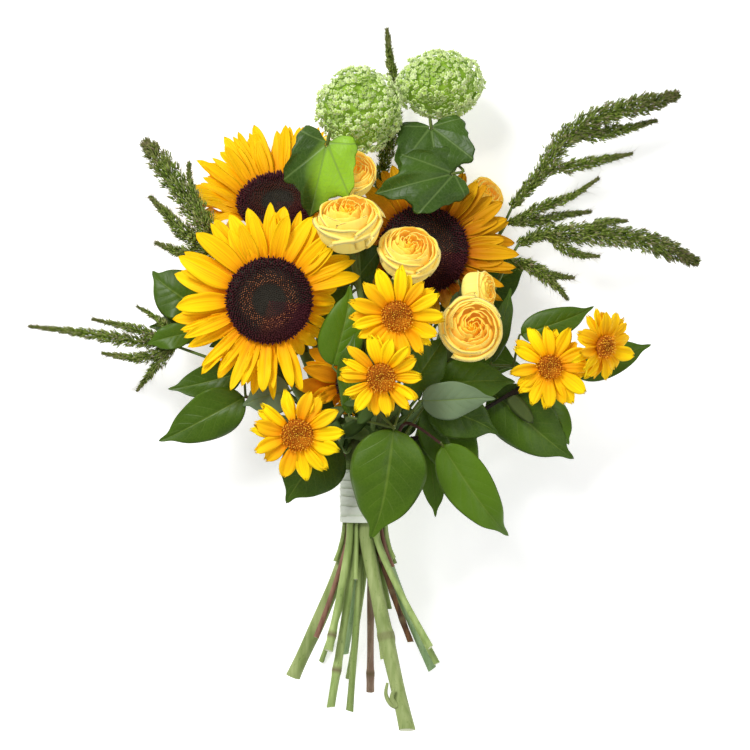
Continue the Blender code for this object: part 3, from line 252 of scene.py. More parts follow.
# How bright each sunflower's petals are, from deep amber, 0, to clear yellow, 1, which is painted shade,
# lowest for c and d, which lie in shade; how many more petals crowd in between the two layers, and how slim
# all of them are; and how many of its florets are open and bright.
PETAL_TONES = {"a": 0.80, "b": 0.70, "c": 0.36, "d": 0.10}
CROWDING = {"a": (34, 0.94), "b": (84, 0.72), "c": (48, 0.76), "d": (8, 1.0)}
OPEN_FLORETS = {"a": 1.0, "b": 0.25, "c": 0.55, "d": 0.6}

# Branched stems: the head at the top, and for each side branch how far up the stem it starts, its points,
# the head at its end and its radius.
BRANCHES = {
    "rose_stems_middle": ("rose_1", (
        (0.62, ((12, 58, 76), (23, 69, 81)), "rose_2", 1.8),
        (0.76, ((-6, 100, 70), (-11, 122, 67)), "rose_5", 1.6),
    )),
    "rose_stems_right": ("rose_3", (
        (0.74, ((60, 30, 76), (60, 50, 78)), "rose_4", 1.6),
        (0.56, ((50, 20, 42), (66, 75, 33), (76, 108, 18)), "rose_6", 1.6),
    )),
    "daisy_stems_middle": ("daisy_2", ((0.72, ((16, 12, 108), (20, 32, 114)), "daisy_1", 1.5),)),
    "daisy_stem_left": ("daisy_3", ()),
    "daisy_stems_right": ("daisy_4", ((0.78, ((132, -2, 74), (152, 12, 76)), "daisy_5", 1.4),)),
}

# How far behind a head's middle its stem runs straight: for a rose in shares of its radius.
ROSE_NECK = (1.3, 1.05)
DAISY_NECK = (14, 5)

# Small leaves on each flower stem just above the binding, sepals under a rose, and bracts under a daisy.
LEAFLETS = 8
SEPALS = 5
CUP_BRACTS = 11

# How many more petals a daisy has behind the others, as a share of them.
DAISY_MORE = 0.8

# Florets of a disc, of a daisy's centre and of a snowball, for each square millimetre of radius times radius.
DISC_FLORETS = 1.45
CENTRE_FLORETS = 1.9
SNOWBALL_FLORETS = 0.90

# How thick each kind of blade is, and the points along and across a petal.
THICK = {
    "petal": 0.4, "rose": 0.35, "sepal": 0.4, "bract": 0.5, "cup bract": 0.35, "leaflet": 0.4, "leaf": 0.55,
    "lobed leaf": 0.5,
}
PETAL_GRID = (15, 11)

# The side veins of a salal leaf, and how much they slant.
SALAL_VEINS = 7.0
SALAL_SLANT = 1.9

# Rings of a rose's petals, in shares of its radius: belly radius, rim radius, rim height, turn, half its
# span, how far the rim rolls out, and the petals, where 0 stands for the rose's own number.
ROSE_RINGS = (
    (0.99, 0.95, 0.08, 0, 56, 0.15, 0), (0.95, 0.82, 0.30, 40, 54, 0.13, 0),
    (0.84, 0.64, 0.45, 8, 50, 0.09, 0), (0.70, 0.48, 0.51, 50, 46, 0.06, 0),
    (0.54, 0.34, 0.50, 18, 48, 0.05, 0), (0.40, 0.24, 0.47, 64, 54, 0.04, 4),
    (0.26, 0.14, 0.44, 20, 62, 0.03, 4), (0.14, 0.07, 0.41, 70, 84, 0.01, 3),
)

# The closed middle of a rose and the hip under it: (radius, height) in shares of its radius.
ROSE_CORE = ((0.02, -0.86), (0.20, -0.84), (0.24, -0.5), (0.20, 0.1), (0.08, 0.24), (0.02, 0.26))
ROSE_HIP = ((0.10, -1.24), (0.16, -1.16), (0.31, -1.04), (0.34, -0.94), (0.24, -0.86))

# A lobed leaf: how far it reaches, in shares of its length, at angles from its midrib.
LOBE_ANGLES = (0, 10, 20, 29, 39, 50, 60, 71, 84, 97, 108, 118)
LOBE_REACH = (1.0, 0.93, 0.80, 0.74, 0.82, 0.92, 0.84, 0.68, 0.64, 0.60, 0.46, 0.24)

# How far each rose nods towards the bouquet's top, in degrees.
ROSE_NODS = {"rose_1": 26, "rose_2": 16, "rose_3": 5, "rose_4": 0, "rose_5": 14, "rose_6": 0}

# Joints of the stems below the binding: how far above the cut end each one is.
JOINTS = {
    "sunflower_a_stem": (67,), "sunflower_d_stem": (112,), "rose_stems_middle": (27,),
    "daisy_stem_left": (12,), "viburnum_stem_right": (13,), "daisy_stems_right": (16, 37, 61),
}

# A small broken side shoot low on the thickest stem: the points of its two prongs, from the stem's middle.
SHOOT = (((0, 0, 2), (-7, 2, 3), (-11, 9, 3), (-10, 17, 2)), ((-4, 1, 3), (-7, 7, 5), (-5.5, 13, 5)))

# Leaves, by their tips, that show their pale undersides, and those that the light shines through.
PALE_SIDE_UP = ((90, -12, 102), (-86, -18, 70))
BRIGHT_LEAVES = ((145, -47, 50), (100, -113, 66), (-8, 63, 93), (50, -99, 44))

# The studio, in metres: the floor, how strongly it and the world glow, the lamps (place, size, power), and
# the camera's place and the width that fills its picture at the flowers' distance. Its sensor is 36 mm wide.
FLOOR_HALF = 6
FLOOR_LOW = -0.0004
FLOOR_GLOW = 0.46
WORLD_GLOW = 0.42
LAMPS = {"key": ((-1.2, 1.6, 2.4), 1.1, 78), "fill": ((1.7, -0.5, 1.9), 1.6, 14)}
SENSOR = 36
SHOWN_WIDTH = 0.525
SHOWN_FROM = 2.74
EYE_AT = (0.007, 0.00175, 2.80)

# The bark or skin of each stem that isn't plain green.
STEM_SKINS = {
    "sunflower_a_stem": "pale_stem",
    "sunflower_b_stem": "pale_stem",
    "sunflower_c_stem": "pale_stem",
    "rose_stems_right": "blue_stem",
    "viburnum_stem_left": "blue_stem",
    "viburnum_stem_right": "woody_stem",
    "daisy_stems_right": "bark_stem",
    "salal_twig": "red_twig",
    "salal_left": "red_twig",
    "salal_lower_left": "red_twig",
}


# Paths of the stems, as in the part's source

def smooth_path(points, step):
    """A smooth curve through the points (Catmull-Rom), with a point about every step."""
    points = [Vector(p) for p in points]
    ends = [2 * points[0] - points[1]] + points + [2 * points[-1] - points[-2]]
    path = [points[0]]
    for before, start, end, after in zip(ends, ends[1:], ends[2:], ends[3:]):
        count = max(1, round((end - start).length / step))
        for i in range(1, count + 1):
            t = i / count
            bend = 2 * start + (end - before) * t
            bend += (2 * before - 5 * start + 4 * end - after) * t * t
            bend += (3 * start - before - 3 * end + after) * t * t * t
            path.append(bend / 2)
    return path


def packed_slots():
    """Pushes the stems' places in the binding apart until none touch, and together towards its middle."""
    names = list(STEMS)
    radii = np.array([STEMS[name][0] for name in names])
    places = np.array([STEMS[name][1:3] for name in names], float)
    need = radii[:, None] + radii[None, :] + GAP
    for turn in range(PACKING_TURNS):
        places *= 1 - 0.02 * max(0.0, 0.8 - turn / PACKING_TURNS)
        for _ in range(6):
            apart = places[:, None, :] - places[None, :, :]
            distance = np.linalg.norm(apart, axis=2) + np.eye(len(names)) * 1000
            overlap = np.clip(need - distance, 0, None)
            np.fill_diagonal(overlap, 0)
            places += (apart / distance[:, :, None] * overlap[:, :, None]).sum(axis=1) * 0.5
    for turn in range(PACKING_TURNS):
        reach = np.linalg.norm(places, axis=1) + radii
        places -= places[reach.argmax()] / (turn + 20)
    return {name: place for name, place in zip(names, places)}


def fanned(slot, below):
    """Where a stem in that slot is, that far below the binding's middle: the bundle opens on both sides."""
    reach = max(0.0, abs(below) - WAIST)
    wide = math.hypot(1, FAN_WIDE * reach)
    deep = math.hypot(1, FAN_DEEP * reach)
    turn = FAN_TURN * (wide - 1) if below > 0 else 0.0
    return TIE + Vector((wide * slot[0] + turn * slot[1], -below, deep * slot[1]))


def stem_paths():
    """Every stem from its foot to what it carries, with the stretches above the binding eased apart."""
    slots = packed_slots()
    paths = {}
    for name, (_, _, _, foot) in STEMS.items():
        low = [fanned(slots[name], below) for below in (foot, (foot + BELOW[0]) / 2, *BELOW)]
        if "back" in name:
            low[0].z = REST_HEIGHT
            low[1].z = (REST_HEIGHT + low[2].z) * 0.42
        path = smooth_path([fanned(slots[name], BELOW[-1]), fanned(slots[name], -COLLAR), *ROUTES[name]], 28)
        paths[name] = low[:-1] + path
    ease_apart(paths)
    return paths, slots


def ease_apart(paths):
    """Pushes the free points of the stems away from each other wherever two stems would touch."""
    names = list(paths)
    knots = np.array([point for name in names for point in paths[name]])
    firsts = np.cumsum([0] + [len(paths[name]) for name in names])
    free = np.zeros(len(knots), bool)
    near, share, owner, radius = [], [], [], []
    for i, name in enumerate(names):
        held = len(BELOW) + 2
        free[firsts[i] + held:firsts[i + 1] - 1] = True
        for knot in range(firsts[i] + held - 2, firsts[i + 1] - 1):
            for part in (0.0, 0.2, 0.4, 0.6, 0.8):
                near.append(knot)
                share.append(part)
                owner.append(i)
                radius.append(STEMS[name][0])
    near, owner = np.array(near), np.array(owner)
    share, radius = np.array(share)[:, None], np.array(radius)
    need = np.where(owner[:, None] == owner[None, :], 0.0, radius[:, None] + radius[None, :] + 5 * GAP)
    for _ in range(EASING_TURNS):
        places = knots[near] * (1 - share) + knots[near + 1] * share
        apart = places[:, None, :] - places[None, :, :]
        distance = np.linalg.norm(apart, axis=2) + 1e-6
        touching = np.clip(need - distance, 0, None) / distance
        push = (apart * touching[:, :, None]).sum(axis=1) * 0.3
        moved = np.zeros_like(knots)
        np.add.at(moved, near, push * (1 - share))
        np.add.at(moved, near + 1, push * share)
        knots[free] += moved[free]
    for i, name in enumerate(names):
        paths[name] = [Vector(point) for point in knots[firsts[i]:firsts[i + 1]]]


def facing_frame(at, facing):
    """A frame whose Z faces that way, with its X as near the bouquet's right as can be."""
    normal = Vector(facing).normalized()
    right = (Vector((1, 0, 0)) - normal * normal.x).normalized()
    turn = Matrix((right, normal.cross(right), normal)).transposed()
    return Matrix.Translation(Vector(at)) @ turn.to_4x4()


def bent(start, end, along):
    """How far forward and up a strip of unit length has gone, as its slope turns from start to end."""
    start, end = math.radians(start), math.radians(end)
    change = end - start if abs(end - start) > 0.01 else 0.01
    here = start + change * along
    return (np.sin(here) - math.sin(start)) / change, (math.cos(start) - np.cos(here)) / change


def point_at(path, share):
    return path[min(len(path) - 1, round(share * (len(path) - 1)))]


def pressed_back(angle, stretch, margin):
    """Whether neighbours press back what grows at that angle."""
    low, high = stretch
    return any(low - margin < angle + turn < high + margin for turn in (-360, 0, 360))


# Surfaces

def unit(vectors):
    return vectors / (np.linalg.norm(vectors, axis=-1, keepdims=True) + 1e-9)


def squares(index):
    """The squares between neighbouring points of a grid of point numbers."""
    return np.stack([index[:-1, :-1], index[:-1, 1:], index[1:, 1:], index[1:, :-1]], -1).reshape(-1, 4)


def spans(rows, columns):
    """The parameters of a blade: across from -1 to 1 along a row, and along from 0 to 1 down a column."""
    return np.linspace(-1, 1, columns)[None, :], np.linspace(0, 1, rows)[:, None]


class Growth:
    """The surfaces that make up one piece."""

    def __init__(self):
        self.points, self.faces, self.paint, self.side, self.skins = [], [], [], [], []
        self.count = 0

    def add(self, points, faces, across, along, tone, side, skin=0):
        """Adds points, the faces between them (several arrays of one width each), and their paint."""
        points = np.asarray(points, float).reshape(-1, 3)
        values = [np.broadcast_to(np.asarray(v, float), (len(points),)) for v in (across, along, tone, side)]
        self.points.append(points)
        self.paint.append(np.stack(values[:3], 1))
        self.side.append(values[3])
        for some in faces:
            self.faces.append(some + self.count)
            self.skins.append(np.full(len(some), skin))
        self.count += len(points)

    def blade(self, face, thick, tone, skin=0, shown=1.0):
        """A closed blade: its underside lies thick below the face, and meets it all round the edge. The tone
        may differ from point to point, and shown is the side value of the face."""
        rows, columns = face.shape[:2]
        normal = unit(np.cross(np.gradient(face, axis=1), np.gradient(face, axis=0)))
        low = (face - thick * normal)[1:-1, 1:-1]
        shown_points, hidden_points = rows * columns, (rows - 2) * (columns - 2)
        top = np.arange(shown_points).reshape(rows, columns)
        under = top.copy()
        under[1:-1, 1:-1] = shown_points + np.arange(hidden_points).reshape(low.shape[:2])
        across, along = np.broadcast_arrays(*spans(rows, columns))
        tone = np.broadcast_to(np.asarray(tone, float), (rows, columns))
        paint = [np.concatenate([v.ravel(), v[1:-1, 1:-1].ravel()]) for v in (across, along, tone)]
        side = np.concatenate([np.full(shown_points, shown), np.full(hidden_points, 1 - shown)])
        points = np.concatenate([face.reshape(-1, 3), low.reshape(-1, 3)])
        self.add(points, [squares(top), squares(under)[:, ::-1]], *paint, side, skin)

    def shell(self, rings, tone, skin=0, along=None, side=1.0):
        """A closed skin over rings of points, with a point in the middle of its first and its last ring. The
        tone, the share along and the side may each be given ring by ring."""
        rows, sides = rings.shape[:2]
        index = np.arange(rows * sides).reshape(rows, sides)
        first, last = rows * sides, rows * sides + 1
        wrapped = np.hstack([index, index[:, :1]])
        start = np.stack([np.full(sides, first), wrapped[0, 1:], wrapped[0, :-1]], 1)
        end = np.stack([np.full(sides, last), wrapped[-1, :-1], wrapped[-1, 1:]], 1)
        points = np.concatenate([rings.reshape(-1, 3), rings[:1].mean(axis=1), rings[-1:].mean(axis=1)])
        around = np.append(np.tile(np.linspace(-1, 1, sides, endpoint=False), rows), [0, 0])

        def spread(value):
            value = np.broadcast_to(np.asarray(value, float), (rows,))
            return np.append(np.repeat(value, sides), value[[0, -1]])

        along = spread(np.linspace(0, 1, rows) if along is None else along)
        self.add(points, [squares(wrapped), start, end], around, along, spread(tone), spread(side), skin)

    def sweep(self, path, radii, sides, tone, skin=0, ribs=0, rib=0.0, slant=0.0):
        """A stem: rings carried along a path without twisting, swollen into a number of ribs. Both ends are
        cut flat, the first at a slant, and show the pith (side 0)."""
        path = np.array([tuple(p) for p in path], float)
        ways = unit(np.gradient(path, axis=0))
        right = np.empty_like(path)
        start = np.cross(ways[0], (0.0, 0.0, 1.0))
        right[0] = unit(start if np.linalg.norm(start) > 0.1 else np.cross(ways[0], (1.0, 0.0, 0.0)))
        for i in range(1, len(path)):
            right[i] = unit(right[i - 1] - ways[i] * np.dot(right[i - 1], ways[i]))
        up = np.cross(ways, right)
        angle = np.linspace(0, TAU, sides, endpoint=False)[None, :, None]
        swell = np.asarray(radii, float).reshape(-1, 1, 1) * (1 + rib * np.cos(ribs * angle))
        rings = path[:, None] + swell * (np.cos(angle) * right[:, None] + np.sin(angle) * up[:, None])
        rings[0] += ways[0] * slant * np.cos(angle[0]) * radii[0]
        inset = [0.86 * ring + 0.14 * ring.mean(axis=0) for ring in (rings[0], rings[-1])]
        rings = np.concatenate([inset[:1], rings[:1], rings, inset[1:]])
        tone = np.broadcast_to(np.asarray(tone, float), (len(path),))
        tone = np.concatenate([tone[:1], tone[:1], tone, tone[-1:]])
        side = np.ones(len(rings))
        side[[0, -1]] = 0
        along = np.concatenate([[0, 0], np.linspace(0, 1, len(path)), [1]])
        self.shell(rings, tone, skin, along, side)

    def turned(self, profile, sides, matrix, tone, skin=0, along=None):
        """A profile of (radius, height) points turned round the axis of a flower."""
        profile = np.array(profile, float)
        angle = np.linspace(0, TAU, sides, endpoint=False)
        ring = np.stack([np.cos(angle), np.sin(angle), np.zeros(sides)], 1)
        rings = profile[:, None, :1] * ring + profile[:, None, 1:] * np.array((0, 0, 1.0))
        self.shell(moved(rings, matrix), tone, skin, along)

    def scatter(self, shape, faces, along, places, turns, sizes, tones, shares, skin=0):
        """The same small shape many times: each at its place, turned by its own frame and stretched."""
        count, corners = len(places), len(shape)
        local = shape[None] * np.asarray(sizes, float).reshape(count, -1)[:, None]
        points = np.einsum("nij,nkj->nki", turns, local) + places[:, None]
        starts = np.arange(count)[:, None, None] * corners
        spread = [(some[None] + starts).reshape(-1, some.shape[1]) for some in faces]
        tones = np.repeat(tones, corners)
        shares = np.repeat(shares, corners)
        self.add(points, spread, shares, np.tile(along, count), tones, 1.0, skin)

    def finish(self, name, skins, slot, *nodes):
        """Makes the piece, in metres, in place of the solids of those names, flat where it rests."""
        mesh = bpy.data.meshes.new(name)
        points = np.concatenate(self.points) * MM
        points[:, 2] = np.maximum(points[:, 2], 0.0)
        mesh.vertices.add(len(points))
        mesh.vertices.foreach_set("co", points.astype(np.float32).ravel())
        corners = np.concatenate([some.ravel() for some in self.faces])
        sizes = np.concatenate([np.full(len(some), some.shape[1]) for some in self.faces])
        mesh.loops.add(len(corners))
        mesh.loops.foreach_set("vertex_index", corners.astype(np.int32))
        mesh.polygons.add(len(sizes))
        mesh.polygons.foreach_set("loop_start", (np.cumsum(sizes) - sizes).astype(np.int32))
        mesh.polygons.foreach_set("use_smooth", np.ones(len(sizes), bool))
        mesh.polygons.foreach_set("material_index", np.concatenate(self.skins).astype(np.int32))
        mesh.update(calc_edges=True)
        for title, kind, key, values in (
            ("paint", "FLOAT_VECTOR", "vector", np.concatenate(self.paint)),
            ("side", "FLOAT", "value", np.concatenate(self.side)),
        ):
            field = mesh.attributes.new(title, kind, "POINT")
            field.data.foreach_set(key, values.astype(np.float32).ravel())
        for skin in skins:
            mesh.materials.append(finishes[skin])
        mesh.validate()
        piece = bpy.data.objects.new(name, mesh)
        bpy.context.scene.collection.objects.link(piece)
        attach(piece, "root")
        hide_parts(*nodes)


def moved(points, matrix):
    """Points taken into the bouquet by a flower's frame."""
    turn = np.array(matrix)
    return points @ turn[:3, :3].T + turn[:3, 3]


def aimed(ways, spins):
    """Frames whose Z points each way, spun about it."""
    side = np.cross(ways, np.where(np.abs(ways[:, 2:]) < 0.9, (0.0, 0.0, 1.0), (1.0, 0.0, 0.0)))
    side = unit(side)
    other = np.cross(ways, side)
    cos, sin = np.cos(spins)[:, None], np.sin(spins)[:, None]
    return np.stack([cos * side + sin * other, cos * other - sin * side, ways], -1)


def pod(corners, profile):
    """A small closed pod along Z: rings of corners by (radius, height), then a tip. Gives its points, its
    faces and how far along each point is."""
    angle = np.linspace(0, TAU, corners, endpoint=False)
    rings = np.array([[(r * math.cos(a), r * math.sin(a), h) for a in angle] for r, h in profile[:-1]])
    tip = np.array([(0, 0, profile[-1][1])])
    index = np.arange(rings.shape[0] * corners).reshape(-1, corners)
    wrapped = np.hstack([index, index[:, :1]])
    end = np.stack([wrapped[-1, :-1], wrapped[-1, 1:], np.full(corners, index.size)], 1)
    faces = [squares(wrapped), end, index[:1, ::-1]]
    heights = np.concatenate([rings.reshape(-1, 3)[:, 2], tip[:, 2]])
    return np.concatenate([rings.reshape(-1, 3), tip]), faces, heights / profile[-1][1]


def golden(number):
    """The angle of a floret, each a golden angle on from the last."""
    return number * math.pi * (3 - math.sqrt(5))


def spiral(count, radius):
    """Places of the florets of a disc: angle and distance."""
    number = np.arange(count) + 0.5
    return golden(number), radius * np.sqrt(number / count)


# Flowers

def straight(across, along):
    """The end of a petal without teeth."""
    return along + 0 * across


def smooth(across, along):
    """The relief of a petal without grooves."""
    return 0 * across * along


def waved(across, along):
    """The relief of a bract, whose edges wave a little."""
    return 0.3 * np.abs(across) * np.sin(3 * along)


def ray_face(
    angle, root, length, width, height, slopes, cup, twist, rows, columns, share,
    reach=straight, relief=smooth, sway=0,
):
    """The face of a petal: it leaves the flower's rim at an angle and bends from its first slope to its last.
    Off to the side it reaches share(along) of half its width, rises by its cup and its twist, and bears
    the relief of its grooves."""
    across, along = spans(rows, columns)
    out = np.array((math.cos(math.radians(angle)), math.sin(math.radians(angle)), 0.0))
    side = np.array((out[1], -out[0], 0.0))
    forward, up = bent(*slopes, reach(across, along))
    off = across * share(along) * width / 2
    rise = height + length * up + cup * np.abs(off) + math.tan(math.radians(twist)) * off * along
    rise = rise + relief(across, along)
    forward, off, rise = np.broadcast_arrays(root + length * forward, off + sway * along ** 2 * width, rise)
    return forward[..., None] * out + off[..., None] * side + rise[..., None] * np.array((0, 0, 1.0))


def pointed(along):
    """A sunflower petal's outline: narrow at its foot, full by the middle, running to a point."""
    swell = 0.58 + 0.42 * np.sin(math.pi / 2 * np.minimum(1, along / 0.42))
    return swell * (1 - along ** 3.2) ** 0.72 + 0.004


def petal_outline(full, round_end):
    """A sunflower petal's outline: narrow at its foot, full by a share of its length, and running to a point
    that is the rounder the higher the power of its end."""
    def share(along):
        swell = 0.55 + 0.45 * np.sin(math.pi / 2 * np.minimum(1, along / full))
        return swell * (1 - along ** round_end) ** 0.72 + 0.004
    return share


def blunt(along):
    """A daisy petal's outline: narrow at its foot, full past the middle, with a short toothed end."""
    swell = 0.42 + 0.58 * np.sin(math.pi / 2 * np.minimum(1, along / 0.6))
    return swell * (1 - (along / 1.04) ** 4.5) ** 0.9


def toothed(depth, shift):
    """Three teeth at a petal's end, depth of its length deep, the middle one off to one side by the shift."""
    def reach(across, along):
        return along - depth * (0.5 - 0.5 * np.cos(3 * math.pi * (across + shift))) * along ** 7
    return reach


def sunflower_petals(letter):
    """Two layers of petals as in the source, with others crowded in between them. Each has its own outline,
    grooves, sway and curl, and those that hang below the disc are ruffled."""
    at, facing, disc, length, count, pressed, rise = SUNFLOWERS[letter]
    matrix = facing_frame(at, facing)
    rng = random.Random(SEED + ord(letter))
    free = random.Random(letter + " fine")
    broad = 1.85 * math.pi * (disc + length * 0.28) / count
    drum = disc - 2.0
    petals = Growth()
    hub = ((drum - 0.5, -2.2), (drum + 0.2, -1.2), (drum + 0.2, 0.2), (drum - 0.5, 1.2))
    petals.turned(hub, 3 * count, matrix, 0.3)
    more, slim = CROWDING[letter]

    def grow(angle, reach, width, height, slopes, twist, layer):
        ruffled = math.sin(math.radians(angle)) < -0.25
        grooves, phase = free.choice((1.5, 2.0, 2.5)), free.uniform(-0.5, 0.5)
        ripple = free.uniform(1.2, 2.4) if ruffled else free.uniform(0.4, 1.3)
        crease = free.uniform(-1.8, 0.9) * (1.6 if letter == "c" else 1.0)
        width *= 0.76 if ruffled else 1.0

        def relief(across, along):
            fade = np.sin(math.pi * np.clip(along, 0, 1)) ** 0.6
            edge = ripple * np.sin((14 if ruffled else 9) * along + 9 * phase + across)
            fold = crease * np.exp(-((across - 0.25 * math.sin(9 * phase)) / 0.20) ** 2)
            groove = 0.48 * np.cos(grooves * math.pi * (across + 0.3 * phase))
            return fade * (groove + edge * np.abs(across) ** 2.5 + fold)

        slopes = (slopes[0], slopes[1] + free.uniform(-16, 22))
        twist += free.uniform(-18, 18) if ruffled else free.uniform(-13, 13)
        outline = petal_outline(free.uniform(0.34, 0.62), free.uniform(2.6, 4.8))
        face = ray_face(
            angle + free.uniform(-3.5, 3.5), drum, reach, width * free.uniform(0.84, 1.06), height, slopes,
            free.uniform(-0.05, 0.40), twist, *PETAL_GRID, outline, straight, relief,
            free.uniform(-0.35, 0.35),
        )
        # Painted shade: the flower's tone, lowered for the second layer and the petals crowded under the
        # first; the rest differs at random.
        tone = PETAL_TONES[letter] + 0.26 * free.random() - 0.10 * layer
        petals.blade(moved(face, matrix), THICK["petal"], tone)

    for layer in (0, 1):
        for i in range(count):
            angle = 360 / count * (i + 0.5 * layer)
            reach = length * rng.uniform(0.88, 1.06)
            start = (16, 2)[layer] + rise + rng.uniform(-3, 3)
            end = (-6, -12)[layer] + rise + rng.uniform(-8, 8)
            width = broad * slim
            if pressed_back(angle, pressed, layer * 360 / count):
                start, end, reach, width = -34 + 10 * (1 - layer), -70, reach * 0.62, broad * 0.8
            lean = angle + rng.uniform(-1.2, 1.2)
            grow(lean, reach, width, (1.1, -1.3)[layer], (start, end), rng.uniform(-6, 6), layer)
    for i in range(more):
        angle = 360 / more * (i + 0.5) + free.uniform(-5, 5)
        if not pressed_back(angle, pressed, 10):
            slopes = (free.uniform(4, 24) + rise, free.uniform(-18, 8) + rise)
            width = broad * slim * free.uniform(0.62, 0.92)
            reach = length * free.uniform(0.72, 1.02)
            grow(angle, reach, width, free.uniform(-1.2, 0.6), slopes, 0, free.random())
    name = f"sunflower_{letter}_petals"
    # Sunflower c lies in shade: its petals take a darker copy of the petal finish, which is painted shade.
    skin = "shaded_petal" if letter == "c" else "petal"
    petals.finish("fine_" + name, [skin], "deep_petal" if letter == "d" else "petal", name)


def florets(head, matrix, rng, spots, height, lean, turn, wide, long, floret, brightest, share):
    """Florets on a dome, each leaning outwards, with a tone from 0 up to the brightest."""
    angle, far = spots
    places = np.stack([far * np.cos(angle), far * np.sin(angle), height], 1)
    ways = unit(np.stack([np.cos(turn) * lean, np.sin(turn) * lean, np.ones(len(far))], 1))
    frames = np.einsum("ij,njk->nik", np.array(matrix)[:3, :3], aimed(ways, rng.uniform(0, TAU, len(far))))
    sizes = np.stack([wide, wide, long], 1)
    tones = rng.uniform(0, brightest, len(far))
    head.scatter(*floret, moved(places, matrix), frames, sizes, tones, share)


def sunflower_disc(letter):
    """The seed disc: a dome of florets set by the golden angle, smooth buds in the middle, open ones with
    bright tips round them, and long bristly ones at the rim."""
    at, facing, disc = SUNFLOWERS[letter][:3]
    matrix = facing_frame(at, facing)
    rng = np.random.default_rng(SEED + ord(letter))
    head = Growth()
    dome = (
        (disc - 3, 1.8), (disc - 0.6, 2.6), (disc - 0.4, 4.2), (disc * 0.86, 6.2), (disc * 0.56, 5.3),
        (disc * 0.28, 4.2), (0.3, 4.0),
    )
    head.turned(dome, 48, matrix, 0.0, along=[1.0, 1.0, 1.0, 0.86, 0.56, 0.28, 0.0])
    count = int(DISC_FLORETS * disc ** 2)
    angle, far = spiral(count, disc - 0.6)
    share = far / disc
    height = np.interp(share, (0, 0.28, 0.56, 0.84, 1.0), (3.6, 3.8, 5.0, 6.0, 3.2))
    lean = np.clip((share - 0.62) * 3.0, 0, 1.0) * 0.95 + rng.normal(0, 0.14, count) * (0.3 + share)
    turn = angle + rng.normal(0, 0.45, count) * share
    long = np.interp(share, (0, 0.36, 0.46, 0.62, 0.72, 1.0), (1.1, 1.3, 2.3, 2.6, 2.7, 3.6))
    long = long * rng.uniform(0.7, 1.25, count)
    wide = np.interp(share, (0, 0.40, 0.50, 0.66, 1.0), (0.66, 0.66, 0.50, 0.52, 0.62))
    seed = pod(5, ((0.9, 0.0), (1.0, 0.60), (0, 1.0)))
    bright = OPEN_FLORETS[letter]
    florets(head, matrix, rng, (angle, far), height, lean, turn, wide, long, seed, bright, share)
    name = f"sunflower_{letter}_disc"
    head.finish("fine_" + name, ["disc"], "disc", name)


def leaflets(green, name, path, skin):
    """Small leaves along the stretch of a stem just above the binding, each turned its own way."""
    rng = random.Random(name + " leaflets")
    stretch = [point for point in path if -46 < point.y < 44]
    for i in range(LEAFLETS):
        foot = Matrix.Translation(stretch[int(i / LEAFLETS * len(stretch))])
        face = ray_face(
            rng.uniform(0, 360), 0.5, rng.uniform(18, 27), rng.uniform(9, 13), 0,
            (rng.uniform(-10, 25), -12), 0.12, rng.uniform(-14, 14), 9, 5, pointed,
        )
        green.blade(moved(face, foot), THICK["leaflet"], rng.uniform(0, 0.4), skin)


def sunflower_stem(letter, path):
    at, facing, disc, _, _, pressed, _ = SUNFLOWERS[letter]
    name = f"sunflower_{letter}_stem"
    matrix = facing_frame(at, facing)
    radius = STEMS[name][0]
    rng = random.Random(letter + " bracts")
    green = Growth()
    neck = -disc * 0.36 - 5
    top = [matrix @ Vector((0, 0, neck - 8)), matrix @ Vector((0, 0, neck + 3))]
    grow_stem(green, name, path + top, 0.82, 0)
    if letter == "a":
        low = path[0].lerp(path[1], 0.25)
        for prong in SHOOT:
            route = smooth_path([low + Vector(p) for p in prong], 1.5)
            green.sweep(route, np.linspace(2.2, 0.9, len(route)), 10, 0.0, 0)
    cup = [(radius * 0.85, neck), (radius * 1.3, neck + 2.5), (disc * 0.40, neck * 0.72), (disc * 0.6, -6.8),
           (disc * 0.62, -5.2), (disc * 0.5, -2.9)]
    green.turned(cup, 24, matrix, 0.5, 1)
    bracts = 8 if disc > 20 else 6
    for layer in (0, 1):
        for i in range(bracts):
            angle = 360 / bracts * (i + 0.5 * layer)
            long = disc * (0.30 if pressed_back(angle, pressed, 40) else 0.9) * rng.uniform(0.85, 1.05)
            face = ray_face(
                angle, disc * 0.55, long, disc * 0.40, -5.6 - 0.8 * layer, (-10, rng.uniform(-6, 8)), 0.15,
                rng.uniform(-8, 8), 11, 7, pointed, straight, waved, 0.1,
            )
            green.blade(moved(face, matrix), THICK["bract"], rng.random(), 1)
    leaflets(green, name, path, 1)
    green.finish("fine_" + name, [stem_skin(name), "bract"], "stem", name)


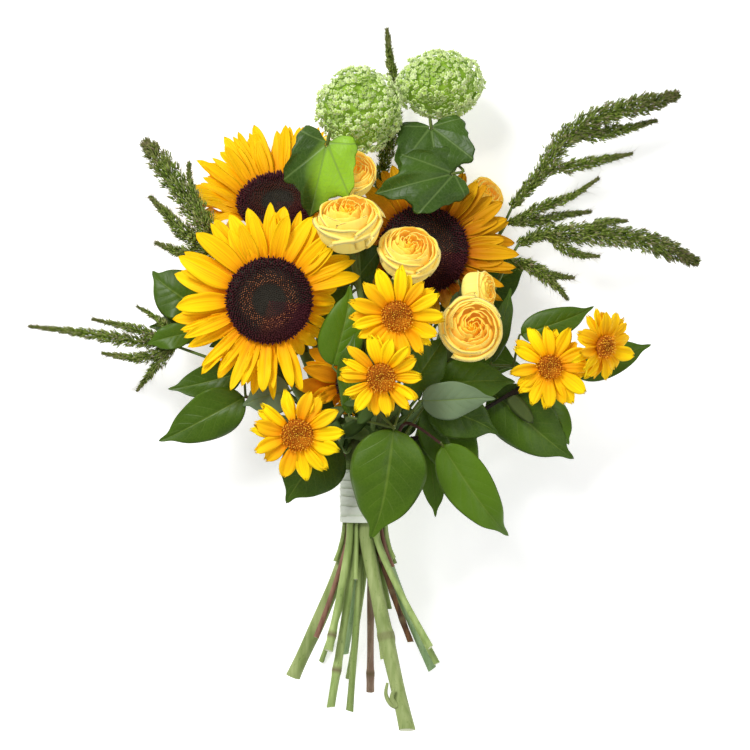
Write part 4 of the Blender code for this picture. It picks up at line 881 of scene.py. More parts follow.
def rose(name):
    """A double rose: broad outer petals that cup round the bloom, with rims that roll outwards and frill, and
    inside them ring after ring of smaller ones down to a swirl. Each petal runs from its foot out to its
    belly and in again to its rim; the rim falls off to both sides, and one edge lies over the next. A rose
    that nods is bent towards the bouquet's top, by more the higher above its foot."""
    at, facing, size, count, layers = ROSES[name]
    matrix = facing_frame(at, facing)
    free = random.Random(name + " fine")
    bloom = Growth()

    def nodding(points):
        x, y, z = points[..., 0], points[..., 1], points[..., 2]
        turn = math.radians(ROSE_NODS[name]) * np.clip((z + 0.84) / 1.1, 0, 1)
        bent_y = y * np.cos(turn) + z * np.sin(turn)
        return np.stack([x, bent_y, z * np.cos(turn) - y * np.sin(turn)], -1)

    rings = ROSE_RINGS[1:] if layers == 2 else ROSE_RINGS
    across, along = spans(15, 15)
    for layer, (belly, rim, top, turn, half, roll, petals) in enumerate(rings):
        inward = layer / (len(rings) - 1)
        base = -0.84 + 0.05 * layer
        petals = petals or count
        for i in range(petals):
            angle = 360 / petals * i + turn + free.uniform(-12, 12)
            lift, phase = free.uniform(-0.09, 0.06), free.uniform(0, TAU)
            swell = free.uniform(-0.05, 0.03)
            frill = free.uniform(0.6, 1.5)
            spread = half * (0.42 + 0.58 * np.sin(math.pi / 2 * np.minimum(1, along * 1.6)))
            round_off = np.radians(angle - across * spread)
            up = np.minimum(1, along * 2.0)
            out = 0.16 + (belly + swell - 0.16) * np.sin(math.pi / 2 * up)
            closing = np.clip((along - 0.42) / 0.58, 0, 1)
            out = out + (rim - belly) * closing ** 1.5
            curl = np.clip((along - 0.84) / 0.16, 0, 1)
            wave = frill * (np.sin(4.5 * across + phase) + 0.6 * np.sin(10 * across + 2 * phase))
            out = out + roll * curl ** 1.5 + 0.06 * across * (0.3 + along)
            out = out + (0.014 + 0.020 * inward) * wave * along ** 4
            height = base + (top + lift - base) * (1 - np.cos(math.pi * along ** 1.05)) / 2
            height = height - (0.20 + 0.06 * inward) * np.abs(across) ** 3 * along ** 2
            height = height - 0.8 * roll * curl ** 2 + 0.022 * wave * along ** 5
            face = np.stack(np.broadcast_arrays(out * np.cos(round_off), out * np.sin(round_off), height), -1)
            tone = 0.85 * inward + 0.12 * free.random()
            bloom.blade(moved(nodding(face) * size, matrix), THICK["rose"], tone)
    bloom.turned([(r * size, h * size) for r, h in ROSE_CORE], 16, matrix, 1.0)
    bloom.finish("fine_" + name, ["rose"], "rose", name)


def calyx(green, at, facing, size, skin):
    """The green hip under a rose, with its pointed sepals."""
    matrix = facing_frame(at, facing)
    green.turned([(r * size, h * size) for r, h in ROSE_HIP], 15, matrix, 0.5, skin)
    for i in range(SEPALS):
        face = ray_face(
            360 / SEPALS * i, size * 0.28, size * 0.62, size * 0.26, -size * 0.95, (-4, 14), 0.2, 0,
            11, 5, pointed,
        )
        green.blade(moved(face, matrix), THICK["sepal"], 0.5, skin)


def daisy(name):
    """Toothed petals as in the source, grooved, folded and each bent its own way, with more behind them."""
    at, facing, reach, count, middle = DAISIES[name]
    matrix = facing_frame(at, facing)
    rng = random.Random(name)
    free = random.Random(name + " fine")
    petals = Growth()
    drum = middle - 1.0
    hub = ((drum - 0.5, -0.4), (drum + 0.1, -0.1), (drum + 0.1, 0.6), (drum - 0.5, 0.95))
    petals.turned(hub, 39, matrix, 0.3)
    width = 2.0 * math.pi * reach * 0.58 / count

    def grow(angle, length, width, height, slopes, twist):
        teeth = toothed(free.uniform(0.06, 0.20), free.uniform(-0.16, 0.16))
        phase = free.uniform(0, TAU)
        crease = free.uniform(-1.7, 0.6)

        def relief(across, along):
            fade = np.sin(math.pi * np.clip(along * 0.86 + 0.10, 0, 1)) ** 0.6
            edge = 1.3 * np.sin(7 * along + phase + across) * np.abs(across) ** 2.5
            fold = crease * np.exp(-(((across - 0.2 * math.sin(phase)) / 0.22) ** 2))
            return fade * (0.55 * np.cos(3 * math.pi * across) + edge + fold)

        face = ray_face(
            angle, drum, length, width, height, slopes, free.uniform(-0.08, 0.42), twist, *PETAL_GRID,
            blunt, teeth, relief, free.uniform(-0.30, 0.30),
        )
        petals.blade(moved(face, matrix), THICK["petal"], 0.15 + 0.8 * free.random())

    for i in range(count):
        length = (reach - drum) * rng.uniform(0.92, 1.06)
        slopes = (10 + rng.uniform(-4, 4), -8 + rng.uniform(-8, 8))
        angle = 360 / count * i + rng.uniform(-1.2, 1.2)
        twist = rng.uniform(-8, 8)
        slopes = (slopes[0] + free.uniform(-6, 14), slopes[1] + free.uniform(-22, 20))
        angle += free.uniform(-5, 5)
        broad = width * free.uniform(0.86, 1.36)
        length *= free.uniform(0.86, 1.03)
        grow(angle, length, broad, 0.8 + 0.5 * (i % 2), slopes, twist + free.uniform(-18, 18))
    for i in range(round(DAISY_MORE * count)):
        angle = 360 / DAISY_MORE / count * i + free.uniform(-10, 10)
        grow(angle, (reach - drum) * free.uniform(0.76, 1.0), width * free.uniform(0.8, 1.15), 0.0,
             (free.uniform(-4, 8), free.uniform(-26, 0)), free.uniform(-18, 18))
    petals.finish(f"fine_{name}_petals", ["daisy"], "daisy", name + "_petals")
    daisy_centre(name, matrix, middle)


def daisy_centre(name, matrix, middle):
    """A bristly cone: florets set by the golden angle, open with split ends round the rim."""
    rng = np.random.default_rng(len(name) + int(name[-1]))
    cone = Growth()
    dome = [
        (middle - 2.4, 1.3), (middle - 0.4, 1.6), (middle - 0.5, 3.0), (middle * 0.66, 4.6),
        (middle * 0.33, 5.0), (0.2, 4.4),
    ]
    cone.turned(dome, 30, matrix, 0.0, along=[1.0, 1.0, 1.0, 0.66, 0.33, 0.0])
    count = int(CENTRE_FLORETS * middle ** 2)
    angle, far = spiral(count, middle - 0.5)
    share = far / middle
    height = np.interp(share, (0, 0.33, 0.66, 1.0), (4.0, 4.6, 4.2, 1.8))
    lean = share ** 2 * 0.9 + rng.normal(0, 0.18, count)
    turn = angle + rng.normal(0, 0.5, count)
    long = np.interp(share, (0, 0.4, 0.6, 1.0), (1.6, 2.2, 3.2, 3.4)) * rng.uniform(0.7, 1.3, count)
    wide = rng.uniform(0.26, 0.44, count)
    bristle = pod(4, ((0.8, 0.0), (0.75, 0.5), (1.2, 0.85), (0, 1.0)))
    florets(cone, matrix, rng, (angle, far), height, lean, turn, wide, long, bristle, 1, share)
    cone.finish(f"fine_{name}_centre", ["daisy_centre"], "daisy_centre", name + "_centre")


def daisy_cup(green, name, skin):
    at, facing, _, _, middle = DAISIES[name]
    matrix = facing_frame(at, facing)
    cup = ((1.9, -9.0), (2.2, -8.2), (middle * 0.55, -5.4), (middle * 0.78, -2.4), (middle * 0.72, -0.6))
    green.turned(cup, 16, matrix, 0.5, skin)
    for i in range(CUP_BRACTS):
        face = ray_face(
            360 / CUP_BRACTS * i, middle * 0.62, middle * 0.62, middle * 0.34, -2.6, (4, -10), 0.2, 0,
            9, 5, pointed,
        )
        green.blade(moved(face, matrix), THICK["cup bract"], 0.6, skin)


def snowball(name):
    """A head of small five-lobed florets over a dark core. The florets gather in lumps, which stand out from
    the head by the nearness of the nearest of a few dozen middles, and each floret is tipped its own way."""
    at, radii, _ = SNOWBALLS[name]
    rng = np.random.default_rng(len(name))
    head = Growth()
    radii = np.array(radii, float)

    def directions(count):
        number = np.arange(count) + 0.5
        height = 1 - 2 * number / count
        around = np.sqrt(1 - height ** 2)
        turn = golden(number)
        return np.stack([around * np.cos(turn), around * np.sin(turn), height], 1)

    middles = unit(directions(46) + rng.normal(0, 0.12, (46, 3)))

    def lumps(ways):
        near = (ways @ middles.T).max(axis=1)
        return 0.89 + 0.14 * np.clip((near - 0.955) / 0.045, 0, 1) ** 0.7

    core = [(math.sin(a), -math.cos(a)) for a in np.linspace(0.04, math.pi - 0.04, 22)]
    matrix = Matrix.Translation(Vector(at)) @ Matrix.Diagonal((*(radii * 0.85), 1))
    head.turned(core, 32, matrix, 0.0, along=[0.0] * len(core))
    count = int(SNOWBALL_FLORETS * radii[0] * radii[1])
    ways = unit(directions(count) + rng.normal(0, 0.035, (count, 3)))
    out = lumps(ways) + rng.uniform(-0.045, 0.01, count)
    places = np.array(at) + ways * radii * out[:, None]
    normals = unit(unit(ways / radii) + rng.normal(0, 0.34, ways.shape))
    # One floret: a round saucer of five lobes, raised towards its rim, with a small eye in the middle.
    lobes = np.arange(5)[:, None] * TAU / 5 + np.radians([0, 17, 36, 55])[None, :]
    far = np.tile([0.60, 0.95, 1.0, 0.95], 5)
    lift = 0.42 * far ** 2
    ring = np.stack([far * np.cos(lobes.ravel()), far * np.sin(lobes.ravel()), lift], 1)
    shape = np.concatenate([ring, [(0, 0, 0.10), (0, 0, -0.5)]])
    corners = len(far)
    index = np.arange(corners)
    after = np.roll(index, -1)
    eye, foot = np.full(corners, corners), np.full(corners, corners + 1)
    faces = [np.stack([index, after, eye], 1), np.stack([after, index, foot], 1)]
    along = np.concatenate([far, [0, 0]])
    sizes = rng.uniform(1.6, 2.6, count)
    # Painted shade: florets sunk between the lumps get a low share, which the floret finish paints deep
    # green.
    shade = np.clip((out - 0.85) / 0.17, 0, 1)
    frames = aimed(normals, rng.uniform(0, TAU, count))
    head.scatter(shape, faces, along, places, frames, sizes, rng.uniform(0, 1, count), shade)
    head.finish("fine_" + name, ["floret"], "floret", name)


# Panicles

def spike(growth, points, radius, rng, skin=0):
    """A spike crowded with spikelets: they stand round the axis in loose whorls, lean towards its tip, and
    their tips reach out to its radius, swollen by whorl. Two in seven are plump pods, the others slender
    bracts; long fine hairs stand out between them."""
    path = np.array([tuple(p) for p in smooth_path(points, 2.0)])
    ways = unit(np.gradient(path, axis=0))
    rows = len(path)
    growth.sweep(path, np.linspace(0.8, 0.35, rows), 6, 0.4, skin)
    length = 2.0 * rows
    count = int(length * (6.6 + 3.1 * radius))
    where = rng.uniform(0, 1, count) ** 0.88
    end = 0.36 + 4.0 * (1 - where) if radius > 7.9 else 0.05 + 1.7 * (1 - where)
    taper = np.minimum(1, np.minimum(0.34 + 2.0 * where, end))
    index = where * (rows - 1)
    low = np.clip(index.astype(int), 0, rows - 2)
    part = (index - low)[:, None]
    at = path[low] * (1 - part) + path[low + 1] * part
    ahead = unit(ways[low] * (1 - part) + ways[low + 1] * part)
    spin = rng.uniform(0, TAU, count)
    whorl = 0.88 + 0.20 * np.cos(where * length * TAU / 9.0 + 2 * np.cos(spin + where * 9))
    frames = aimed(ahead, spin)
    outward = frames[:, :, 0]
    off = radius * taper * whorl * rng.uniform(0.0, 0.96, count) ** 0.60
    at = at + outward * off[:, None] - ahead * 0.5 * off[:, None]
    lean = rng.uniform(0.25, 0.95, count)[:, None]
    direction = unit(ahead + outward * lean + rng.normal(0, 0.24, ahead.shape))
    long = rng.uniform(2.2, 4.6, count) * (0.78 + 0.04 * radius)
    wide = rng.uniform(0.32, 0.68, count)
    sizes = np.stack([wide, wide * 0.9, long * (0.6 + 0.4 * taper)], 1)
    # Painted shade: spikelets near the axis are darker, those further out lighter; the rest of each tone
    # differs at random.
    tones = np.clip(rng.uniform(0, 0.86, count) + 0.25 * off / radius, 0, 1)
    frames = aimed(direction, rng.uniform(0, TAU, count))
    plump = count * 2 // 7
    for part, profile in (
        (slice(plump), ((0.5, 0.0), (1.0, 0.40), (0, 1.0))), (slice(plump, count), ((1.0, 0.0), (0, 1.0))),
    ):
        bit = pod(3, profile)
        growth.scatter(*bit, at[part], frames[part], sizes[part], tones[part], where[part], skin)
    hairs = max(12, count // 6)
    pick = rng.integers(0, count, hairs)
    thin = np.full(hairs, 0.13)
    sizes = np.stack([thin, thin, rng.uniform(4.0, 11.0, hairs)], 1)
    direction = unit(ahead[pick] + outward[pick] * rng.uniform(0.4, 1.6, hairs)[:, None])
    frames = aimed(direction, np.zeros(hairs))
    hair = pod(3, ((1.0, 0.0), (0, 1.0)))
    growth.scatter(*hair, at[pick], frames, sizes, np.full(hairs, 0.95), where[pick], skin)


def panicle(name, path):
    growth = Growth()
    rng = np.random.default_rng(len(name) * 7 + len(SPIKES[name]))
    grow_stem(growth, name, path, 0.7, 0)
    for points, radius in SPIKES[name]:
        spike(growth, points, radius, rng, 1)
    growth.finish("fine_" + name, ["green_stem", "panicle"], "panicle", name)


# Stems and leaves

def stem_skin(name):
    return STEM_SKINS.get(name, "green_stem")


def grow_stem(growth, name, path, tip_share, skin):
    """A stem that thickens towards its foot, with a slanting cut and, below the binding, a swollen joint or
    two. Its tone is 1 in the narrow ring at each joint."""
    radius = STEMS[name][0]
    fine = smooth_path(path, 3.6)
    steps = np.array([tuple(p) for p in fine])
    far = np.concatenate([[0], np.cumsum(np.linalg.norm(np.diff(steps, axis=0), axis=1))])
    share = far / far[-1]
    thinner = 1 - (1 - tip_share) * np.clip(share - 0.25, 0, 1) / 0.75
    radii = radius * thinner * (1 + 0.08 * np.exp(-far / 12))
    rng = random.Random(name + " joints")
    radii = radii * (1 + 0.05 * np.sin(far / rng.uniform(9, 14) + rng.uniform(0, TAU)))
    rings = np.zeros(len(fine))
    for joint in JOINTS.get(name, ()):
        radii = radii + 0.22 * radius * np.exp(-(((far - joint) / 3.2) ** 2))
        rings = np.maximum(rings, np.exp(-(((far - joint) / 2.2) ** 2)))
    growth.sweep(fine, radii, 16 if radius > 2 else 10, rings, skin, 5, 0.04, rng.uniform(-0.28, 0.28))


def leaf_outline(width):
    """A salal leaf's outline: sin(pi * along ^ 0.68), or fuller where the leaf is narrow, drawn in before its
    tip, which runs out to a point."""
    power, full = (0.8, 0.75) if width < 19 else (0.64, 0.85)

    def share(along):
        round_off = np.sin(math.pi * np.clip(along, 0, 1) ** power) ** full
        drawn = 1 - 0.44 * np.exp(-(((along - 0.90) / 0.095) ** 2))
        return round_off * drawn + 0.006

    return share


def leaf_axes(base, tip, roll):
    """The ways from a leaf's base to its tip, to its side and out of its face, and its length."""
    ahead = tip - base
    side = ahead.cross(Vector((0, 0, 1))).normalized()
    side = Matrix.Rotation(math.radians(roll), 3, ahead) @ side
    return ahead, side, side.cross(ahead).normalized(), ahead.length


def leaf(growth, start, base, tip, width, roll, arch, fold, phase, skin, stalk_skin):
    """A leaf with its stalk: arched along, folded along its midrib, quilted between its veins, with waved
    edges that roll under in places and a tip that curls. The side veins leave the midrib at a slant, and the
    blade bulges between them: its height is a cosine of veins * along - slant * |across|."""
    pale = tuple(tip) in PALE_SIDE_UP
    # Painted light: leaves that the light shines through get a high tone, which mixes in the lit green; the
    # others differ a little.
    tone = 0.55 if tuple(tip) in BRIGHT_LEAVES else 0.12 + 0.12 * math.sin(2.3 * phase)
    start, base, tip = Vector(start), Vector(base), Vector(tip)
    way = (tip - base).normalized()
    if (base - start).length < 4:
        base = start + way
        start = base - way * 2.5
    ahead, side, up, length = leaf_axes(base, tip, roll)
    across, along = spans(39, 21)
    share = leaf_outline(width)(along)
    off = across * share * width / 2
    loose = min(1.0, 12 * fold)
    wave = 0.55 * fold * width * np.sin(8 * along + phase - across) * np.abs(across) * share
    ripple = 0.024 * width * np.sin(17 * along + 2 * phase + 2 * np.sign(across)) * np.abs(across) ** 3
    rolled = np.clip(np.sin(3.4 * along + 3 * phase + 1.6 * np.sign(across)), 0, 1)
    rise = arch * length * 4 * along * (1 - along) + fold * np.abs(off) + wave + loose * ripple * share
    rise = rise - 0.13 * loose * width * rolled * np.abs(across) ** 3.5 * share
    rise = rise + 0.07 * loose * length * math.sin(1.3 * phase) * np.clip((along - 0.70) / 0.30, 0, 1) ** 2
    slant = SALAL_VEINS * along - SALAL_SLANT * np.abs(across) * share ** 0.5
    quilt = np.abs(np.sin(math.pi * slant)) ** 0.7
    groove = np.exp(-((off / (0.03 * width)) ** 2))
    rise = rise + 0.020 * width * quilt * (1 - np.abs(across)) * share
    rise = rise - 0.024 * width * groove * (1 - 0.6 * along)
    sway = 0.07 * math.sin(phase) * length * along * (1 - along) + 0.10 * math.cos(phase) * width * along ** 5
    base, ahead, side, up = (np.array(v) for v in (base, ahead, side, up))
    face = base + ahead * along[..., None] + side * (off + sway)[..., None] + up * rise[..., None]
    growth.blade(face, THICK["leaf"], tone, skin, shown=0.0 if pale else 1.0)
    route = smooth_path([start, Vector(base) - way, Vector(base + ahead * 0.02)], 3.0)
    growth.sweep(route, np.linspace(0.95, 0.75, len(route)), 8, 0.0, stalk_skin)


def leafy_stem(name, path):
    growth = Growth()
    grow_stem(growth, name, path, 0.6, 0)
    for i, (owner, share, base, tip, width, roll, arch, fold) in enumerate(LEAVES):
        if owner == name:
            leaf(growth, point_at(path, share), base, tip, width, roll, arch, fold, 1.7 * i, 1, 2)
    growth.finish("fine_" + name, [stem_skin(name), "salal", "leaf_stalk"], "salal", name)


def lobed_leaf(growth, start, base, tip, width, roll, skin, stalk_skin, lit):
    """A viburnum leaf: a fan of rays from its base, whose length rises and falls with their angle into three
    broad lobes and two small ones, with blunt teeth. The blade dips along the vein of each lobe, bulges
    between the side veins and droops at its rim. Where it is lit, the light shines through one half."""
    base, tip = Vector(base), Vector(tip)
    ahead, side, up, length = leaf_axes(base, tip, roll)
    across, along = spans(25, 73)
    turn = across * LOBE_ANGLES[-1]
    reach = np.interp(np.abs(turn), LOBE_ANGLES, LOBE_REACH) + 0.05 * (np.abs((turn / 7.5) % 2 - 1) - 0.5)
    reach = reach * (0.05 + 0.95 * along)
    wide = width / 2 / (0.92 * math.sin(math.radians(50)) * length)
    off = reach * np.sin(np.radians(turn)) * wide * length
    forward = reach * np.cos(np.radians(turn))
    lobe = np.cos(np.radians(turn) * 360 / 50) * (np.abs(turn) < 75)
    rise = 20 * forward * (1 - forward) + 0.10 * np.abs(off) - 1.3 * lobe * along
    rise = rise + 1.8 * np.sin(7 * along + 0.10 * turn) * along ** 3 - 2.5 * along ** 4 * np.abs(across)
    rise = rise + 0.35 * np.abs(np.sin(math.pi * (7 * along + 0.5 * np.abs(lobe)))) * along
    way = ahead.normalized()
    route = smooth_path([*start, base - way * 7, base - way, base + way * 2], 3.0)
    base, ahead, side, up = (np.array(v) for v in (base, ahead, side, up))
    face = base + ahead * forward[..., None] + side * off[..., None] + up * rise[..., None]
    tone = np.clip(lit * off / width * 4 + 0.5 + 0.5 * np.sin(5 * forward), 0, 1) if lit else 0.0
    growth.blade(face, THICK["lobed leaf"], tone, skin)
    growth.sweep(route, np.full(len(route), 1.0), 8, 0.0, stalk_skin)


# Binding

def binding(slots):
    """The wound tape: its radius steps up at the edge of each slanting turn, with shallow creases, and its
    inside is plain."""
    bundle = max(math.hypot(*slots[name]) + STEMS[name][0] for name in STEMS) + GAP
    half = TIE_LENGTH / 2
    rows, sides = 96, 72
    along = np.linspace(-half, half, rows)[:, None]
    angle = np.linspace(0, TAU, sides, endpoint=False)[None, :]
    slant = 3.2 * np.cos(angle) * (1 - np.abs(along) / half)
    turns = (along + slant) / 6.2 + angle / TAU
    step = turns % 1
    radius = bundle + TAPE * 0.55 + 0.65 * step ** 3 - 0.25 * np.exp(-((step / 0.06) ** 2))
    radius = radius + 0.10 * np.sin(9 * angle + 14 * turns)
    outer = np.stack(np.broadcast_arrays(radius * np.cos(angle), along, radius * np.sin(angle)), -1)
    inner = np.stack(np.broadcast_arrays(bundle * np.cos(angle), along[::-1], bundle * np.sin(angle)), -1)
    rings = np.concatenate([outer, inner])
    index = np.arange(rings.shape[0] * sides).reshape(-1, sides)
    index = np.vstack([index, index[:1]])
    wrapped = np.hstack([index, index[:, :1]])
    share = np.concatenate([np.broadcast_to(step, (rows, sides)), np.ones((rows, sides))]).ravel()
    around = np.broadcast_to(np.linspace(-1, 1, sides), rings.shape[:2]).ravel()
    tape = Growth()
    points = rings + np.array(TIE)
    tape.add(points, [squares(wrapped)[:, ::-1]], around, share, 0.5, 1.0)
    tape.finish("fine_binding", ["tape"], "tape", "binding")


# Finishes

class Nodes:
    """A node tree, and short ways to add to it."""

    tree = None

    def node(self, kind, inputs=None, **settings):
        made = self.tree.nodes.new(kind)
        for title, value in settings.items():
            setattr(made, title, value)
        for socket, value in (inputs or {}).items():
            self.join(value, made.inputs[socket])
        return made

    def join(self, value, socket):
        """Links a socket to another, or gives it a number, a vector or a colour."""
        if isinstance(value, bpy.types.NodeSocket):
            self.tree.links.new(value, socket)
        elif socket.type == "RGBA":
            socket.default_value = (*value, 1.0)
        else:
            socket.default_value = value

    def effect(self, name, **inputs):
        """Places an effect, and gives its outputs."""
        return self.node("ShaderNodeGroup", inputs, node_tree=effects[name]).outputs

    def math(self, operation, *values):
        return self.node("ShaderNodeMath", dict(enumerate(values)), operation=operation).outputs[0]

    def times(self, *values):
        return self.math("MULTIPLY", *values)

    def opposite(self, value):
        return self.math("SUBTRACT", 1.0, value)

    def mix(self, factor, first, second):
        made = self.node("ShaderNodeMix", data_type="RGBA")
        for socket, value in zip((0, 6, 7), (factor, first, second)):
            self.join(value, made.inputs[socket])
        return made.outputs[2]

    def over(self, body, colour, mask, amount):
        """The body with a share of that colour over it where the mask is 1."""
        return self.mix(self.times(mask, amount), body, colour)

    def ramp(self, factor, *stops):
        made = self.node("ShaderNodeValToRGB", {0: factor})
        while len(made.color_ramp.elements) < len(stops):
            made.color_ramp.elements.new(0.5)
        for element, (position, colour) in zip(made.color_ramp.elements, stops):
            element.position = position
            element.color = (*colour, 1.0)
        return made.outputs[0]

    def band(self, factor, low, high):
        """0 below low, 1 above high."""
        return self.node("ShaderNodeMapRange", {0: factor, 1: low, 2: high, 3: 0.0, 4: 1.0}).outputs[0]

    def noise(self, place, scale, detail=3.0, stretch=(1, 1, 1)):
        place = self.node("ShaderNodeMapping", {"Vector": place, "Scale": stretch}).outputs[0]
        inputs = {"Vector": place, "Scale": scale, "Detail": detail}
        return self.node("ShaderNodeTexNoise", inputs).outputs["Fac"]


class Effect(Nodes):
    """An effect that several finishes use: a node group, built once. Its inputs and outputs are given as
    names by their kind."""

    KINDS = {"colour": "NodeSocketColor", "value": "NodeSocketFloat", "place": "NodeSocketVector"}

    def __init__(self, name, inputs, outputs):
        self.tree = bpy.data.node_groups.new(name, "ShaderNodeTree")
        for way, sockets in (("INPUT", inputs), ("OUTPUT", outputs)):
            for kind, titles in sockets.items():
                for title in titles:
                    self.tree.interface.new_socket(title, in_out=way, socket_type=self.KINDS[kind])
        self.given = self.node("NodeGroupInput").outputs
        self.told = self.node("NodeGroupOutput").inputs
        effects[name] = self.tree

    def give(self, **outputs):
        for title, value in outputs.items():
            self.join(value, self.told[title])


class Paint(Nodes):
    """The node tree of one finish. It reads where on its blade each point is."""

    def __init__(self, name, roughness, specular):
        self.made = bpy.data.materials.new(name)
        self.made.use_nodes = True
        self.tree = self.made.node_tree
        self.shader = self.tree.nodes["Principled BSDF"]
        self.shader.inputs["Roughness"].default_value = roughness
        self.shader.inputs["Specular IOR Level"].default_value = specular
        finishes[name] = self.made
        growth = self.effect("growth")
        self.across, self.along = growth["Across"], growth["Along"]
        self.tone, self.side = growth["Tone"], growth["Side"]
        self.place = self.node("ShaderNodeTexCoord").outputs["Object"]

    def streaks(self, fine, long):
        inputs = {"Across": self.across, "Along": self.along, "Tone": self.tone, "Fine": fine, "Long": long}
        return self.effect("streaks", **inputs)["Streak"]

    def finish(self, colour, height=None, bump=0.3, distance=0.0004, glow=0.0, rough=None):
        """Joins a colour and a height to the shader; glow is painted light, an emission that stands for the
        light that shows through thin petals.
        """
        self.join(colour, self.shader.inputs["Base Color"])
        # Painted light: the surface glows in its own colour.
        if glow:
            self.join(colour, self.shader.inputs["Emission Color"])
            self.shader.inputs["Emission Strength"].default_value = glow
        if height is not None:
            raised = self.node("ShaderNodeBump", {"Strength": bump, "Distance": distance, "Height": height})
            self.join(raised.outputs[0], self.shader.inputs["Normal"])
        if rough is not None:
            self.join(rough, self.shader.inputs["Roughness"])


effects = {}
finishes = {}


def growth_effect():
    """Where on its blade a point is, as the pieces keep it."""
    effect = Effect("growth", {}, {"value": ("Across", "Along", "Tone", "Side")})
    read = effect.node("ShaderNodeAttribute", attribute_name="paint")
    parts = effect.node("ShaderNodeSeparateXYZ", {0: read.outputs["Vector"]}).outputs
    side = effect.node("ShaderNodeAttribute", attribute_name="side").outputs["Fac"]
    effect.give(Across=parts[0], Along=parts[1], Tone=parts[2], Side=side)


def streak_effect():
    """Noise drawn out along the surface: fine across it, long along it."""
    values = ("Across", "Along", "Tone", "Fine", "Long")
    effect = Effect("streaks", {"value": values}, {"value": ("Streak",)})
    given = effect.given
    wide = effect.times(given["Across"], given["Fine"])
    far = effect.times(given["Along"], given["Long"])
    own = effect.times(given["Tone"], 37.0)
    vector = effect.node("ShaderNodeCombineXYZ", {0: wide, 1: far, 2: own}).outputs[0]
    noise = effect.node("ShaderNodeTexNoise", {"Vector": vector, "Scale": 1.0, "Detail": 2.0})
    effect.give(Streak=noise.outputs["Fac"])


def petal_effect():
    """Petals: from foot over middle to tip, and palest at the rim. The deep colours are painted shade, mixed
    in where the tone is low, along the streaks as shade in the grooves, and on the underside."""
    values = ("Across", "Along", "Tone", "Side", "Streak")
    colours = ("Foot", "Middle", "Tip", "Deep foot", "Deep tip")
    effect = Effect("petal_flesh", {"value": values, "colour": colours}, {"colour": ("Colour",)})
    given = effect.given
    body = effect.mix(effect.band(given["Along"], 0.0, 0.28), given["Foot"], given["Middle"])
    body = effect.mix(effect.band(given["Along"], 0.28, 0.75), body, given["Tip"])
    # Painted shade: the deep foot and tip colours stand for petals in shade, for the grooves and for the
    # underside.
    shade_colour = effect.mix(given["Along"], given["Deep foot"], given["Deep tip"])
    body = effect.mix(effect.band(given["Tone"], 1.0, 0.05), body, shade_colour)
    body = effect.over(body, shade_colour, effect.band(given["Streak"], 0.46, 0.68), 0.5)
    rim = effect.band(effect.math("ABSOLUTE", given["Across"]), 0.80, 1.0)
    body = effect.over(body, given["Tip"], rim, 0.4)
    body = effect.over(body, shade_colour, effect.opposite(given["Side"]), 0.7)
    effect.give(Colour=body)


def rib_effect():
    """Side veins: thin lines where veins * along - slant * off passes a whole number."""
    values = ("Along", "Off", "Veins", "Slant", "Width")
    effect = Effect("side_veins", {"value": values}, {"value": ("Ribs",)})
    given = effect.given
    veins = effect.times(given["Along"], given["Veins"])
    run = effect.math("SUBTRACT", veins, effect.times(given["Off"], given["Slant"]))
    line = effect.math("FRACT", effect.math("ADD", run, 0.5))
    line = effect.math("ABSOLUTE", effect.math("SUBTRACT", line, 0.5))
    effect.give(Ribs=effect.opposite(effect.band(line, 0.008, given["Width"])))


def leaf_effect():
    """What both kinds of leaves share: mottled green, painted light in the lit green that the tone mixes in,
    for light shining through, a fine net of veins, a pale edge and a grey-green underside."""
    values = ("Across", "Tone", "Side", "Pattern", "Gloss")
    colours = ("Deep", "Bright", "Lit", "Vein", "Underside")
    inputs = {"place": ("Place",), "value": values, "colour": colours}
    effect = Effect("leaf_flesh", inputs, {"colour": ("Colour",), "value": ("Height", "Roughness")})
    given = effect.given
    mottle = effect.noise(given["Place"], 30.0, 4.0)
    body = effect.mix(effect.band(mottle, 0.30, 0.70), given["Deep"], given["Bright"])
    # Painted light: a high tone mixes in the lit green, for light shining through the leaf.
    body = effect.mix(given["Tone"], body, given["Lit"])
    inputs = {"Vector": given["Place"], "Scale": 380.0}
    net = effect.node("ShaderNodeTexVoronoi", inputs, feature="DISTANCE_TO_EDGE")
    net = effect.opposite(effect.band(net.outputs["Distance"], 0.02, 0.14))
    body = effect.over(body, given["Vein"], net, 0.10)
    body = effect.over(body, given["Vein"], given["Pattern"], 0.5)
    edge = effect.band(effect.math("ABSOLUTE", given["Across"]), 0.95, 1.0)
    body = effect.over(body, given["Vein"], edge, 0.35)
    low = effect.opposite(given["Side"])
    under = effect.over(given["Underside"], given["Vein"], given["Pattern"], 0.5)
    body = effect.mix(low, body, under)
    height = effect.math("SUBTRACT", effect.times(mottle, 0.4), given["Pattern"])
    gloss = effect.math("ADD", given["Gloss"], effect.times(low, 0.35))
    effect.give(Colour=body, Height=height, Roughness=gloss)


